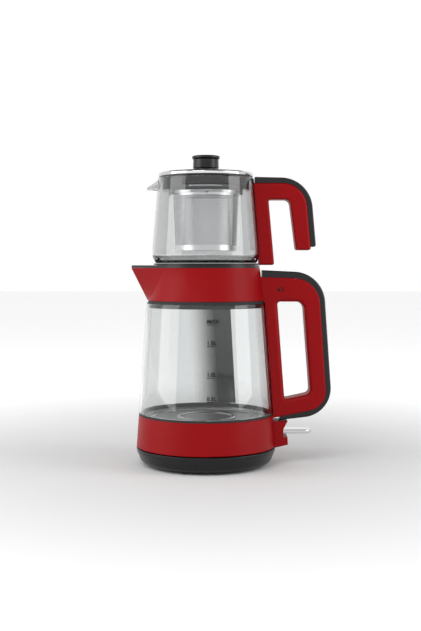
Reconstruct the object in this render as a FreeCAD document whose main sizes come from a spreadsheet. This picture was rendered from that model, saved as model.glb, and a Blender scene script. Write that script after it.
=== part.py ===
import FreeCAD, Part
import math
import os
import Sketcher
from FreeCAD import Placement, Rotation, Vector

# Tea maker: a power base, a glass kettle with a red collar, spout and loop handle,
# and a glass teapot with a hanging strainer that stands on the kettle's lid.
# Frame: the origin is on the vessels' axis at floor level, +Z up, handles towards +X,
# spouts towards -X. Lengths are in millimetres and angles in degrees.

doc = FreeCAD.newDocument("tea_maker")
sheet = doc.addObject("Spreadsheet::Sheet", "Sizes")

# Name, value and meaning of each driving dimension.
DRIVING_SIZES = [
    ("fit_gap", 0.1, "gap between faces that seat on each other"),
    ("loose_gap", 0.3, "gap between bodies that lift apart"),
    ("cut_over", 5.0, "how far a cutting shape runs past what it cuts"),
    ("screw_head", 2.9, "screw head radius"),
    ("screw_head_thick", 1.7, "screw head height"),
    ("screw_shank", 1.5, "screw shank radius"),
    ("screw_length", 12.0, "screw length"),
    ("boss_radius", 3.8, "screw boss radius"),
    ("boss_height", 12.0, "height of the band's screw bosses"),
    ("foot_radius", 5.5, "rubber foot radius"),
    ("foot_rise", 2.5, "height of the base underside above the floor"),
    ("foot_recess", 0.9, "depth of the pockets that hold the feet"),
    ("foot_margin", 2.0, "foot from the plate's edge"),
    ("foot_start", -22.0, "direction of the first foot"),
    ("base_radius", 79.2, "power base radius at its top edge"),
    ("base_taper", 6.2, "how far the base side leans in down to the underside"),
    ("base_side_drop", 3.0, "upright part of the base side"),
    ("base_edge_top", 20.5, "height of the base's top edge"),
    ("base_edge_slope", 0.7, "rise from the edge to the deck"),
    ("base_wall", 2.5, "base shell wall"),
    ("base_corner", 9.0, "rounding of the base's lower edge"),
    ("base_edge_round", 0.6, "rounding of the base's top edge"),
    ("base_plate_inset", 7.0, "bottom plate's edge inside the foot line"),
    ("base_plate_thick", 3.0, "bottom plate thickness"),
    ("base_boss_inset", 21.0, "base screws from the plate's edge"),
    ("post_radius", 16.5, "connector post radius"),
    ("post_rise", 11.8, "height of the post above the deck"),
    ("post_bore", 3.0, "connector post centre bore radius"),
    ("post_groove_in", 7.6, "inner radius of the contact groove"),
    ("post_groove_out", 10.6, "outer radius of the contact groove"),
    ("post_floor", 2.0, "solid part of the post under the groove"),
    ("post_flange", 6.0, "flange round the post, under the deck"),
    ("post_flange_thick", 2.0, "thickness of the post's flange"),
    ("post_foot_inset", 3.0, "post's foot inside the post"),
    ("post_edge", 1.0, "rounding of the post's top edge"),
    ("contact_thick", 0.6, "thickness of the brass contacts"),
    ("contact_sunk", 3.0, "contacts below the post's top"),
    ("pin_clear", 1.8, "gap between the pins and the post's floor"),
    ("pin_play", 0.5, "gap between the centre pin and its sleeve"),
    ("outlet_height", 10.5, "height of the cord outlet"),
    ("outlet_radius", 5.0, "radius of the outlet hole in the base side"),
    ("outlet_bore", 3.6, "bore of the outlet grommet"),
    ("grommet_depth", 3.5, "grommet past the shell's inside"),
    ("grommet_recess", 1.7, "grommet's outer end inside the base's edge"),
    ("band_step", 0.1, "band inside the base's edge"),
    ("band_taper", 2.6, "how far the band leans in"),
    ("band_height", 35.9, "band height"),
    ("band_wall", 2.3, "band wall"),
    ("band_edge", 1.0, "rounding of the band's lower edge"),
    ("ledge_depth", 7.4, "ledge inside the band, below its top"),
    ("ledge_thick", 2.3, "ledge thickness"),
    ("ledge_width", 2.0, "ledge under the heating plate's edge"),
    ("bottom_cover_thick", 3.2, "kettle bottom cover thickness"),
    ("cover_screw_start", 60.0, "direction of the first cover screw"),
    ("cup_wall", 2.9, "kettle connector cup wall"),
    ("cup_clear", 0.6, "gap between cup and post"),
    ("cup_end", 3.4, "thickness of the cup's end"),
    ("cup_flange", 5.0, "flange round the cup"),
    ("cup_flange_thick", 1.7, "thickness of the cup's flange"),
    ("plate_rise", 3.2, "heating plate above the ledge"),
    ("plate_thick", 1.0, "heating plate thickness"),
    ("plate_edge_rise", 1.6, "height of the plate's upturned edge"),
    ("plate_ring_inset", 10.3, "pressed ring from the plate's edge"),
    ("plate_ring_width", 1.4, "half width of the ring's flat top"),
    ("plate_ring_slope", 1.2, "width of the ring's sloping sides"),
    ("plate_ring_rise", 0.9, "height of the pressed ring"),
    ("spreader_inset", 6.0, "heat spreader's edge inside the pressed ring"),
    ("spreader_thick", 2.6, "heat spreader thickness"),
    ("element_inset", 11.0, "heating element inside the spreader's edge"),
    ("element_radius", 3.3, "heating element rod radius"),
    ("element_gap_angle", 40.0, "opening of the heating element's ring"),
    ("gasket_height", 2.4, "seal between band and glass"),
    ("gasket_skirt", 1.5, "thickness of the lower seal's skirt"),
    ("glass_step", 0.4, "kettle glass outside the band's top"),
    ("glass_taper", 9.4, "how far the kettle glass leans in"),
    ("glass_height", 124.0, "kettle glass height"),
    ("glass_wall", 2.4, "kettle glass wall"),
    ("glass_edge", 0.8, "rounding of the glass edges"),
    ("upper_seal_height", 3.1, "seal between glass and collar"),
    ("upper_seal_skirt", 5.0, "depth of the upper seal's skirt inside the glass"),
    ("upper_seal_wall", 2.4, "thickness of the upper seal's skirt"),
    ("collar_step", 1.7, "collar inside the glass's top"),
    ("collar_taper", 4.6, "how far the collar leans in"),
    ("collar_height", 36.5, "collar height"),
    ("collar_wall", 2.6, "collar wall"),
    ("spout_overhang", 23.6, "spout tip beyond the collar's round top"),
    ("spout_root_step", 0.6, "spout tip beyond the collar's round foot"),
    ("spout_nose", 4.2, "radius of the spout's front edge"),
    ("trim_thick", 2.9, "black trim on the collar"),
    ("trim_inset", 0.4, "trim edge inside the collar edge"),
    ("trim_width", 4.9, "trim from the collar's edge to the lid opening"),
    ("trim_nose", 1.4, "radius of the trim opening's front corner"),
    ("trim_lip", 1.8, "trim in front of the spout opening"),
    ("filter_inset", 5.8, "spout filter inside the collar's foot"),
    ("filter_thick", 1.2, "spout filter thickness"),
    ("filter_foot", 2.0, "filter above the collar's lower edge"),
    ("filter_head", 1.0, "filter below the collar's upper edge"),
    ("filter_slots", 5, "slots in the spout filter"),
    ("filter_pitch", 4.4, "distance between the filter's slots"),
    ("filter_slot_width", 2.2, "width of the filter's slots"),
    ("filter_slot_low", 10.0, "slots above the filter's lower edge"),
    ("filter_slot_high", 5.0, "slots below the filter's upper edge"),
    ("lid_overlap", 3.0, "kettle lid flange over the trim"),
    ("lid_flange_thick", 1.9, "kettle lid flange thickness"),
    ("lid_seat_width", 7.3, "width of the ring the teapot stands on"),
    ("lid_plug_depth", 8.1, "depth of the kettle lid's plug"),
    ("lid_plug_wall", 2.2, "plug wall"),
    ("lid_edge", 0.7, "rounding of the kettle lid's edges"),
    ("lid_dish_slope", 2.0, "width of the slope into the dish"),
    ("lid_dish_drop", 3.5, "depth of the dish below the seat"),
    ("lid_dish_thick", 3.0, "thickness of the dish"),
    ("steam_radius", 20.5, "steam opening radius"),
    ("steam_rim", 2.5, "width of the rim round the steam opening"),
    ("steam_rim_drop", 0.6, "steam rim's top below the seat"),
    ("steam_hole_radius", 2.2, "steam hole radius"),
    ("steam_hole_count", 10, "number of steam holes"),
    ("handle_width", 30.0, "kettle handle width"),
    ("handle_bury", 6.2, "handle outline inside the collar, before the cut"),
    ("handle_root_drop", 7.3, "handle's lower edge below the band's top"),
    ("handle_low_out", 59.8, "lower outer corner from the glass's foot"),
    ("handle_low_rise", 9.2, "lower outer corner above the band's top"),
    ("handle_low_round", 22.0, "rounding of the lower outer corner"),
    ("handle_high_out", 49.8, "upper outer corner from the glass's foot"),
    ("handle_high_drop", 12.3, "upper outer corner below the collar's top"),
    ("handle_high_round", 30.0, "rounding of the upper outer corner"),
    ("handle_start_drop", 10.0, "handle's upper edge below the collar's top"),
    ("grip_low_near", 12.0, "grip opening, lower inner corner from the glass's foot"),
    ("grip_low_near_rise", 15.4, "grip opening, lower inner corner above the glass's foot"),
    ("grip_low_far", 40.9, "grip opening, lower outer corner from the glass's foot"),
    ("grip_low_far_rise", 21.8, "grip opening, lower outer corner above the glass's foot"),
    ("grip_high_far", 33.0, "grip opening, upper outer corner from the glass's foot"),
    ("grip_high_near", 3.6, "grip opening, upper inner corner from the glass's foot"),
    ("grip_high_rise", 1.8, "grip opening's upper edge above the glass's top"),
    ("grip_inner_round", 3.0, "rounding of the opening's inner corners"),
    ("grip_low_round", 6.0, "rounding of the opening's lower outer corner"),
    ("grip_high_round", 9.0, "rounding of the opening's upper outer corner"),
    ("grip_edge", 5.0, "rounding of the grip opening's edges"),
    ("handle_edge", 2.0, "rounding of the handle's outer edges"),
    ("handle_glass_gap", 0.6, "gap between handle and kettle glass"),
    ("handle_screw_rise", 16.7, "handle screws above the collar's foot"),
    ("handle_screw_side", 8.0, "handle screws from the middle"),
    ("handle_screw_length", 16.0, "handle screw length"),
    ("strip_width", 26.0, "black strip width"),
    ("strip_edge", 2.2, "rounding of the strip's outer edges"),
    ("strip_high_out", 55.2, "strip upper corner from the glass's foot"),
    ("strip_high_drop", 5.6, "strip upper corner below the collar's top"),
    ("strip_high_round", 36.0, "rounding of the strip's upper corner"),
    ("strip_low_out", 66.7, "strip lower corner from the glass's foot"),
    ("strip_low_rise", 1.2, "strip lower corner above the band's top"),
    ("strip_low_round", 33.0, "rounding of the strip's lower corner"),
    ("strip_start_out", 2.2, "strip's upper end from the collar's top"),
    ("strip_start_drop", 2.4, "strip's upper end below the collar's top"),
    ("strip_end_out", 6.5, "strip's lower end from the glass's foot"),
    ("strip_end_drop", 5.7, "strip's lower end below the band's top"),
    ("switch_width", 27.0, "switch housing width"),
    ("switch_out", 13.9, "switch housing's outer face from the band"),
    ("switch_rise", 28.9, "switch housing's top above the band's foot"),
    ("switch_hang", 0.6, "switch housing's underside below the deck"),
    ("switch_low_rise", 2.2, "its outer underside above the band's foot"),
    ("switch_throat", 8.5, "back of the lever's notch from the band"),
    ("switch_notch_rise", 10.7, "notch's lower face above the band's foot"),
    ("switch_notch_gap", 0.4, "gap above the lever in the notch"),
    ("switch_edge", 1.2, "rounding of the housing's edges"),
    ("switch_cover_wall", 0.8, "wall at the back of the notch"),
    ("switch_lean", 0.5, "how far the housing's outer face leans in"),
    ("lever_width", 22.0, "switch lever width"),
    ("lever_side_gap", 0.6, "gap beside the lever"),
    ("lever_rise", 19.1, "switch lever's top face above the band's foot"),
    ("lever_thick", 4.4, "switch lever thickness"),
    ("lever_out", 41.4, "switch lever's tip from the band"),
    ("lever_edge", 1.2, "rounding of the lever's edges"),
    ("lever_pivot_out", 4.1, "lever pivot from the band"),
    ("lever_hub", 3.4, "lever hub radius"),
    ("lever_hub_gap", 0.8, "gap round the lever hub"),
    ("lever_pin", 1.5, "lever pin radius"),
    ("lever_pin_gap", 0.05, "running gap on the lever pin"),
    ("lever_pin_bite", 1.8, "pin end in the housing's side"),
    ("lever_arm_in", 7.1, "inner end of the lever's arm inside the band"),
    ("lever_arm_width", 7.0, "width of the lever's inner arm"),
    ("lever_arm_thick", 3.0, "thickness of the lever's inner arm"),
    ("lever_swing", 3.0, "room above and below the arm in the band's slot"),
    ("control_width", 26.0, "control unit width"),
    ("control_height", 4.2, "control unit height"),
    ("control_back", 14.0, "control unit behind the axis"),
    ("control_gap", 6.0, "control unit's end from the lever's arm"),
    ("control_nose", 9.0, "length of the control unit's nose"),
    ("control_nose_thick", 3.0, "thickness of the control unit's nose"),
    ("control_nose_rise", 0.9, "top of the nose's end above the unit's foot"),
    ("pot_overhang", 1.3, "teapot heel outside the kettle lid"),
    ("pot_foot_inset", 3.1, "teapot underside inside the heel"),
    ("pot_taper", 6.5, "how far the teapot leans in"),
    ("pot_height", 95.2, "teapot glass height"),
    ("pot_heel_rise", 6.7, "where the heel starts above the underside"),
    ("pot_heel_top", 16.7, "heel crease above the underside"),
    ("pot_wall", 2.2, "teapot glass wall"),
    ("pot_foot_round", 3.0, "rounding of the teapot's foot"),
    ("pot_heel_round", 4.0, "rounding of the teapot's heel"),
    ("pot_floor", 3.4, "teapot glass floor thickness"),
    ("lip_length", 12.3, "pouring lip tip beyond the mouth"),
    ("lip_root_inside", 1.0, "lip's outline inside the glass, before the cut"),
    ("lip_root_drop", 1.6, "lip's upper edge below the mouth, at the glass"),
    ("lip_root_depth", 14.4, "depth of the lip at the glass"),
    ("lip_root_round", 5.0, "rounding of the lip's underside at the glass"),
    ("lip_spread", 13.0, "half width of the lip at the glass"),
    ("lip_tip_drop", 10.8, "lip's upper edge below the mouth, at its tip"),
    ("lip_tip_depth", 2.6, "depth of the lip's tip"),
    ("lip_tip_half", 2.8, "half width of the lip's tip"),
    ("lip_tip_round", 1.2, "rounding of the tip's underside"),
    ("lip_wall", 1.2, "wall of the lip"),
    ("pot_handle_width", 25.0, "teapot handle width"),
    ("pot_handle_bury", 4.1, "teapot handle outline inside the mouth, before the cut"),
    ("pot_leg_drop", 2.2, "inner leg's end below the teapot's underside"),
    ("pot_leg_out", 16.5, "inner leg's outer corner from the heel"),
    ("pot_gap_near", 9.8, "finger gap, upper inner corner from the heel"),
    ("pot_gap_far", 33.4, "finger gap, upper outer corner from the heel"),
    ("pot_gap_drop", 23.9, "finger gap's top below the mouth"),
    ("pot_gap_round", 6.5, "rounding of the finger gap's outer corner"),
    ("pot_gap_edge", 3.2, "rounding of the finger gap's edges"),
    ("hook_rise", 14.6, "hook's end above the teapot's underside"),
    ("hook_near", 40.7, "hook's lower inner corner from the heel"),
    ("hook_far", 57.7, "hook's lower outer corner from the heel"),
    ("hook_high_out", 51.0, "hook's upper corner from the heel"),
    ("hook_high_drop", 5.5, "hook's upper corner below the mouth"),
    ("hook_round", 28.0, "rounding of the hook's upper corner"),
    ("hook_end_round", 2.5, "rounding of the hook's end"),
    ("pot_handle_gap", 0.4, "gap between teapot handle and glass"),
    ("pot_strip_width", 21.0, "teapot handle strip width"),
    ("pot_strip_edge", 1.8, "rounding of the teapot strip's edges"),
    ("pot_strip_start", 0.9, "teapot strip's end outside the mouth"),
    ("pot_strip_rise", 1.5, "teapot strip's top above the mouth"),
    ("pot_strip_high_rise", 0.1, "teapot strip corner above the mouth"),
    ("pot_strip_high_out", 56.5, "teapot strip corner from the heel"),
    ("pot_strip_round", 36.0, "rounding of the teapot strip's corner"),
    ("pot_strip_low_out", 63.5, "teapot strip's lower end from the heel"),
    ("pot_strip_low_rise", 3.7, "teapot strip's lower end above the hook's end"),
    ("pot_strip_end_round", 2.4, "rounding of the teapot strip's lower end"),
    ("holder_flange_inset", 0.8, "strainer holder's flange inside the mouth's edge"),
    ("holder_flange_thick", 1.4, "thickness of the holder's flange"),
    ("holder_clear", 2.7, "gap between the holder's ring and the glass"),
    ("holder_wall", 1.4, "strainer holder wall"),
    ("holder_edge", 0.8, "rounding of the holder's edges"),
    ("holder_depth", 14.0, "holder's shelf below its top"),
    ("cradle_depth", 6.8, "cradle's lower edge below the shelf"),
    ("cradle_wall", 1.6, "cradle outside the strainer rim"),
    ("holder_window", 51.0, "width of the holder's front and rear windows"),
    ("cradle_window", 74.0, "width of the cradle's front and rear openings"),
    ("window_frame", 3.4, "holder left above its windows"),
    ("rim_inset", 8.9, "strainer rim inside the holder's ring"),
    ("rim_drop", 5.0, "rim's lower edge below the shelf"),
    ("rim_height", 8.0, "strainer rim height"),
    ("rim_wall", 0.9, "strainer rim wall"),
    ("rim_flange", 1.0, "rim's flange inside the basket's edge"),
    ("tab_width", 2.4, "width of the small tabs on the rim"),
    ("tab_rise", 1.1, "height of the small tabs"),
    ("tab_near", 32.0, "first tab's turn from the front"),
    ("tab_far", 49.0, "second tab's turn from the front"),
    ("basket_inset", 3.7, "basket's top inside the rim"),
    ("basket_taper", 2.4, "how far the basket leans in"),
    ("basket_height", 62.7, "basket height"),
    ("basket_wall", 0.5, "basket wall"),
    ("mesh_side", 4.2, "width of a mesh opening"),
    ("mesh_slant", 1.2, "height of a mesh opening over its width"),
    ("mesh_rows", 5, "rows of mesh openings"),
    ("mesh_columns", 20, "columns of mesh openings"),
    ("mesh_margin", 3.5, "plain edge above and below the mesh"),
    ("seam_angle", 34.0, "spread of the basket's plain seam"),
    ("seam_thick", 0.2, "thickness of the seam"),
    ("seam_margin", 0.5, "seam's ends from the cap and from the rim"),
    ("cap_rise", 4.4, "height of the basket's bottom cap"),
    ("cap_thick", 0.8, "thickness of the cap's floor"),
    ("cap_wall", 0.4, "thickness of the cap's upturned edge"),
    ("drain_radius", 1.8, "drain hole radius"),
    ("drain_count", 8, "drain holes in each ring"),
    ("skirt_gap", 0.6, "gap between lid skirt and holder"),
    ("skirt_wall", 2.4, "lid skirt wall"),
    ("skirt_gap_below", 0.5, "gap between skirt and tabs"),
    ("lid_rim_inset", 0.4, "lid rim inside the mouth's edge"),
    ("lid_rim_thick", 4.4, "lid rim height"),
    ("lid_rim_foot", 0.8, "thickness of the lid rim's foot"),
    ("lid_rim_edge", 1.5, "rounding of the lid rim's upper edge"),
    ("lid_rim_ledge", 1.9, "ledge height in the lid rim"),
    ("lid_ledge_width", 3.0, "width of the ledge"),
    ("cover_inset", 6.3, "lid cover's edge inside the rim's edge"),
    ("cover_thick", 2.2, "lid cover thickness"),
    ("cover_rise", 2.8, "rise of the lid cover's middle"),
    ("knob_radius", 14.6, "knob radius"),
    ("knob_lip", 1.1, "knob lip outside the knob"),
    ("knob_neck_inset", 3.0, "knob neck inside the knob"),
    ("knob_neck", 2.4, "height of the knob's neck"),
    ("knob_height", 16.6, "knob height"),
    ("knob_lip_height", 3.4, "height of the knob's lip"),
    ("knob_hollow", 1.0, "depth of the hollow in the knob's top"),
    ("knob_rim", 4.3, "width of the raised ring round the knob's hollow"),
    ("knob_edge", 0.8, "rounding of the knob's edges"),
    ("knob_bore", 9.0, "depth of the knob's screw hole"),
]


class Size:
    """A number together with the sheet expression that it comes from."""

    def __init__(self, value, text):
        self.value = value
        self.text = text

    def _with(self, other, sign, swap=False):
        first, second = self, as_size(other)
        if swap:
            first, second = second, first
        values = {
            "+": lambda a, b: a + b,
            "-": lambda a, b: a - b,
            "*": lambda a, b: a * b,
            "/": lambda a, b: a / b,
        }
        return Size(values[sign](first.value, second.value),
                    f"({first.text} {sign} {second.text})")

    def __add__(self, other):
        return self._with(other, "+")

    def __radd__(self, other):
        return self._with(other, "+", swap=True)

    def __sub__(self, other):
        return self._with(other, "-")

    def __rsub__(self, other):
        return self._with(other, "-", swap=True)

    def __mul__(self, other):
        return self._with(other, "*")

    def __rmul__(self, other):
        return self._with(other, "*", swap=True)

    def __truediv__(self, other):
        return self._with(other, "/")

    def __neg__(self):
        return Size(-self.value, f"(-{self.text})")


def as_size(number):
    """Plain numbers join in as constants."""
    return number if isinstance(number, Size) else Size(float(number), repr(float(number)))


def root(size):
    return Size(math.sqrt(size.value), f"sqrt({size.text})")


def cosine(angle):
    return Size(math.cos(math.radians(angle.value)), f"cos({angle.text} * 1 deg)")


def sine(angle):
    return Size(math.sin(math.radians(angle.value)), f"sin({angle.text} * 1 deg)")


class SizeBook:
    """Gives each named cell of the sheet as a Size."""


size = SizeBook()
for row, (name, value, meaning) in enumerate(DRIVING_SIZES, start=1):
    sheet.set(f"A{row}", name)
    sheet.set(f"B{row}", str(value))
    sheet.set(f"C{row}", meaning)
    sheet.setAlias(f"B{row}", name)
    setattr(size, name, Size(float(value), f"Sizes.{name}"))
doc.recompute()

# Sizes that follow from the driving ones, from the base upwards.
size.base_foot_line = size.base_radius - size.base_taper
size.base_plate_radius = size.base_foot_line - size.base_plate_inset
size.base_plate_top = size.foot_rise + size.base_plate_thick
size.foot_circle = size.base_plate_radius - size.foot_radius - size.foot_margin
size.base_boss_circle = size.base_plate_radius - size.base_boss_inset
size.base_deck = size.base_edge_top + size.base_edge_slope
size.deck_under = size.base_deck - size.base_wall
size.post_top = size.base_deck + size.post_rise
size.groove_floor = size.base_deck + size.post_floor
size.screw_bore = size.screw_shank + size.fit_gap
size.sink_radius = size.screw_head + size.fit_gap
size.sink_depth = size.screw_head_thick + size.fit_gap * 2

size.band_radius = size.base_radius - size.band_step
size.band_bottom = size.base_deck + size.loose_gap
size.band_top = size.band_bottom + size.band_height
size.band_top_radius = size.band_radius - size.band_taper
size.band_ledge = size.band_top - size.ledge_depth
size.ledge_top = size.band_ledge + size.ledge_thick
size.cover_top = size.band_bottom + size.bottom_cover_thick
size.cover_screw_circle = size.band_radius - size.band_wall - size.boss_radius + size.loose_gap
size.cup_bore = size.post_radius + size.cup_clear
size.cup_radius = size.cup_bore + size.cup_wall
size.cup_depth_top = size.post_top + size.cup_clear * 2
size.cup_top = size.cup_depth_top + size.cup_end
size.skirt_outer = size.band_top_radius - size.band_wall - size.fit_gap
size.gasket_inner = size.skirt_outer - size.gasket_skirt
size.plate_radius = size.gasket_inner - size.loose_gap
size.plate_height = size.band_ledge + size.plate_rise
size.plate_top = size.plate_height + size.plate_thick
size.plate_ring_radius = size.plate_radius - size.plate_ring_inset
size.spreader_radius = size.plate_ring_radius - size.spreader_inset
size.element_circle = size.spreader_radius - size.element_inset

size.glass_bottom = size.band_top + size.gasket_height + size.fit_gap * 2
size.glass_radius = size.band_top_radius + size.glass_step
size.glass_top = size.glass_bottom + size.glass_height
size.glass_top_radius = size.glass_radius - size.glass_taper
size.collar_bottom = size.glass_top + size.upper_seal_height + size.fit_gap * 2
size.collar_radius = size.glass_top_radius - size.collar_step
size.collar_top = size.collar_bottom + size.collar_height
size.collar_top_radius = size.collar_radius - size.collar_taper
size.spout_centre_low = size.collar_radius + size.spout_root_step - size.spout_nose
size.spout_centre_high = size.collar_top_radius + size.spout_overhang - size.spout_nose
size.trim_bottom = size.collar_top + size.fit_gap
size.lid_bore = size.collar_top_radius - size.trim_width
size.lid_seat = size.trim_bottom + size.trim_thick + size.loose_gap
size.lid_top = size.lid_seat + size.lid_flange_thick
size.lid_flange_radius = size.lid_bore + size.lid_overlap
size.lid_seat_inner = size.lid_flange_radius - size.lid_seat_width
size.steam_hole_circle = (size.steam_radius + size.lid_seat_inner) / 2
size.filter_place = size.collar_radius - size.filter_inset

size.handle_inner = size.collar_top_radius - size.handle_bury
size.handle_root_height = size.band_top - size.handle_root_drop
size.handle_low_x = size.glass_radius + size.handle_low_out
size.handle_low_z = size.band_top + size.handle_low_rise
size.handle_high_x = size.glass_radius + size.handle_high_out
size.handle_high_z = size.collar_top - size.handle_high_drop
size.handle_start_height = size.collar_top - size.handle_start_drop
size.handle_screw_height = size.collar_bottom + size.handle_screw_rise
size.handle_screw_start = size.collar_top_radius - size.collar_wall - size.screw_head_thick * 2
size.grip_low_in_x = size.glass_radius + size.grip_low_near
size.grip_low_in_z = size.glass_bottom + size.grip_low_near_rise
size.grip_low_out_x = size.glass_radius + size.grip_low_far
size.grip_low_out_z = size.glass_bottom + size.grip_low_far_rise
size.grip_high_out_x = size.glass_radius + size.grip_high_far
size.grip_high_in_x = size.glass_radius + size.grip_high_near
size.grip_high_z = size.glass_top + size.grip_high_rise
size.strip_high_x = size.glass_radius + size.strip_high_out
size.strip_high_z = size.collar_top - size.strip_high_drop
size.strip_low_x = size.glass_radius + size.strip_low_out
size.strip_low_z = size.band_top + size.strip_low_rise
size.strip_start_x = size.collar_top_radius + size.strip_start_out
size.strip_start_z = size.collar_top - size.strip_start_drop
size.strip_end_x = size.glass_radius + size.strip_end_out
size.strip_end_z = size.band_top - size.strip_end_drop

size.lever_reach = size.band_radius + size.lever_out
size.lever_top = size.band_bottom + size.lever_rise
size.lever_mid = size.lever_top - size.lever_thick / 2
size.lever_pivot_x = size.band_radius + size.lever_pivot_out
size.lever_arm_reach = size.band_radius - size.lever_arm_in
size.notch_back = size.band_radius + size.switch_throat
size.notch_low = size.band_bottom + size.switch_notch_rise
size.notch_high = size.lever_top + size.switch_notch_gap
size.switch_reach = size.band_radius + size.switch_out
size.switch_top = size.band_bottom + size.switch_rise
size.switch_low_in = size.base_deck - size.switch_hang
size.switch_low_out = size.band_bottom + size.switch_low_rise
size.control_reach = size.lever_arm_reach - size.control_gap

size.pot_bottom = size.lid_top + size.loose_gap
size.pot_radius = size.lid_flange_radius + size.pot_overhang
size.pot_foot_radius = size.pot_radius - size.pot_foot_inset
size.pot_top = size.pot_bottom + size.pot_height
size.pot_mouth_radius = size.pot_radius - size.pot_taper
size.pot_heel_low = size.pot_bottom + size.pot_heel_rise
size.pot_heel_high = size.pot_bottom + size.pot_heel_top
size.lip_reach = size.pot_mouth_radius + size.lip_length
size.pot_handle_inner = size.pot_mouth_radius - size.pot_handle_bury
size.pot_handle_low = size.pot_bottom - size.pot_leg_drop
size.pot_gap_top = size.pot_top - size.pot_gap_drop
size.pot_leg_out_x = size.pot_radius + size.pot_leg_out
size.pot_gap_in_x = size.pot_radius + size.pot_gap_near
size.pot_gap_out_x = size.pot_radius + size.pot_gap_far
size.hook_in_x = size.pot_radius + size.hook_near
size.hook_low = size.pot_bottom + size.hook_rise
size.hook_out_x = size.pot_radius + size.hook_far
size.hook_high_x = size.pot_radius + size.hook_high_out
size.hook_high_z = size.pot_top - size.hook_high_drop
size.pot_strip_start_x = size.pot_mouth_radius + size.pot_strip_start
size.pot_strip_top = size.pot_top + size.pot_strip_rise
size.pot_strip_high_x = size.pot_radius + size.pot_strip_high_out
size.pot_strip_high_z = size.pot_top + size.pot_strip_high_rise
size.pot_strip_low_x = size.pot_radius + size.pot_strip_low_out
size.pot_strip_low_z = size.hook_low + size.pot_strip_low_rise

size.holder_low = size.pot_top + size.fit_gap
size.holder_top = size.holder_low + size.holder_flange_thick
size.holder_shelf = size.holder_top - size.holder_depth
size.holder_bottom = size.holder_shelf - size.cradle_depth
size.holder_flange_radius = size.pot_mouth_radius - size.holder_flange_inset
size.holder_radius = size.pot_mouth_radius - size.pot_wall - size.holder_clear
size.rim_radius = size.holder_radius - size.rim_inset
size.rim_bottom = size.holder_shelf - size.rim_drop
size.rim_top = size.rim_bottom + size.rim_height
size.holder_cradle_radius = size.rim_radius + size.cradle_wall
size.basket_radius = size.rim_radius - size.basket_inset
size.basket_low_radius = size.basket_radius - size.basket_taper
size.basket_top = size.rim_bottom - size.fit_gap
size.basket_bottom = size.basket_top - size.basket_height
size.cap_top = size.basket_bottom + size.cap_rise

size.skirt_radius = size.holder_radius - size.holder_wall - size.skirt_gap
size.skirt_bottom = size.rim_top + size.tab_rise + size.skirt_gap_below
size.lid_rim_bottom = size.holder_top + size.loose_gap
size.lid_rim_radius = size.pot_mouth_radius - size.lid_rim_inset
size.lid_ledge = size.lid_rim_bottom + size.lid_rim_ledge
size.cover_radius = size.lid_rim_radius - size.cover_inset
size.cover_low = size.lid_ledge + size.fit_gap
size.cover_middle = size.cover_low + size.cover_thick + size.cover_rise
size.cover_inside = size.cover_low + size.cover_rise
size.knob_low = size.cover_middle + size.fit_gap
size.knob_lip_radius = size.knob_radius + size.knob_lip
size.knob_neck_radius = size.knob_radius - size.knob_neck_inset
size.knob_top = size.knob_low + size.knob_height


def cone_radius(low_radius, low, high_radius, high, height):
    """Radius of a cone at a height, from its two ends."""
    return low_radius + (high_radius - low_radius) * ((height - low) / (high - low))


def bind(thing, prop, size_value):
    """Tie one property to the sheet."""
    thing.setExpression(prop, as_size(size_value).text)


def new_body(label):
    body = doc.addObject("PartDesign::Body", label)
    body.Label = label
    return body


def origin_plane(body, role):
    return next(item for item in body.Origin.OriginFeatures if item.Role == role)


def new_sketch(body, name, plane, offset=None):
    sketch = body.newObject("Sketcher::SketchObject", name)
    sketch.AttachmentSupport = (origin_plane(body, plane), [""])
    sketch.MapMode = "FlatFace"
    if offset is not None:
        bind(sketch, ".AttachmentOffset.Base.z", offset)
    return sketch


def pin_point(sketch, geometry, position, x, y, name):
    """Hold one sketch point at a place taken from the sheet."""
    for axis, place, kind, line in (("x", as_size(x), "DistanceX", -2),
                                    ("y", as_size(y), "DistanceY", -1)):
        if place.value == 0 and "Sizes" not in place.text:
            sketch.addConstraint(Sketcher.Constraint("PointOnObject", geometry, position, line))
            continue
        index = sketch.addConstraint(
            Sketcher.Constraint(kind, -1, 1, geometry, position, place.value))
        sketch.renameConstraint(index, f"{name}{axis}")
        sketch.setExpression(f"Constraints.{name}{axis}", place.text)


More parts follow.
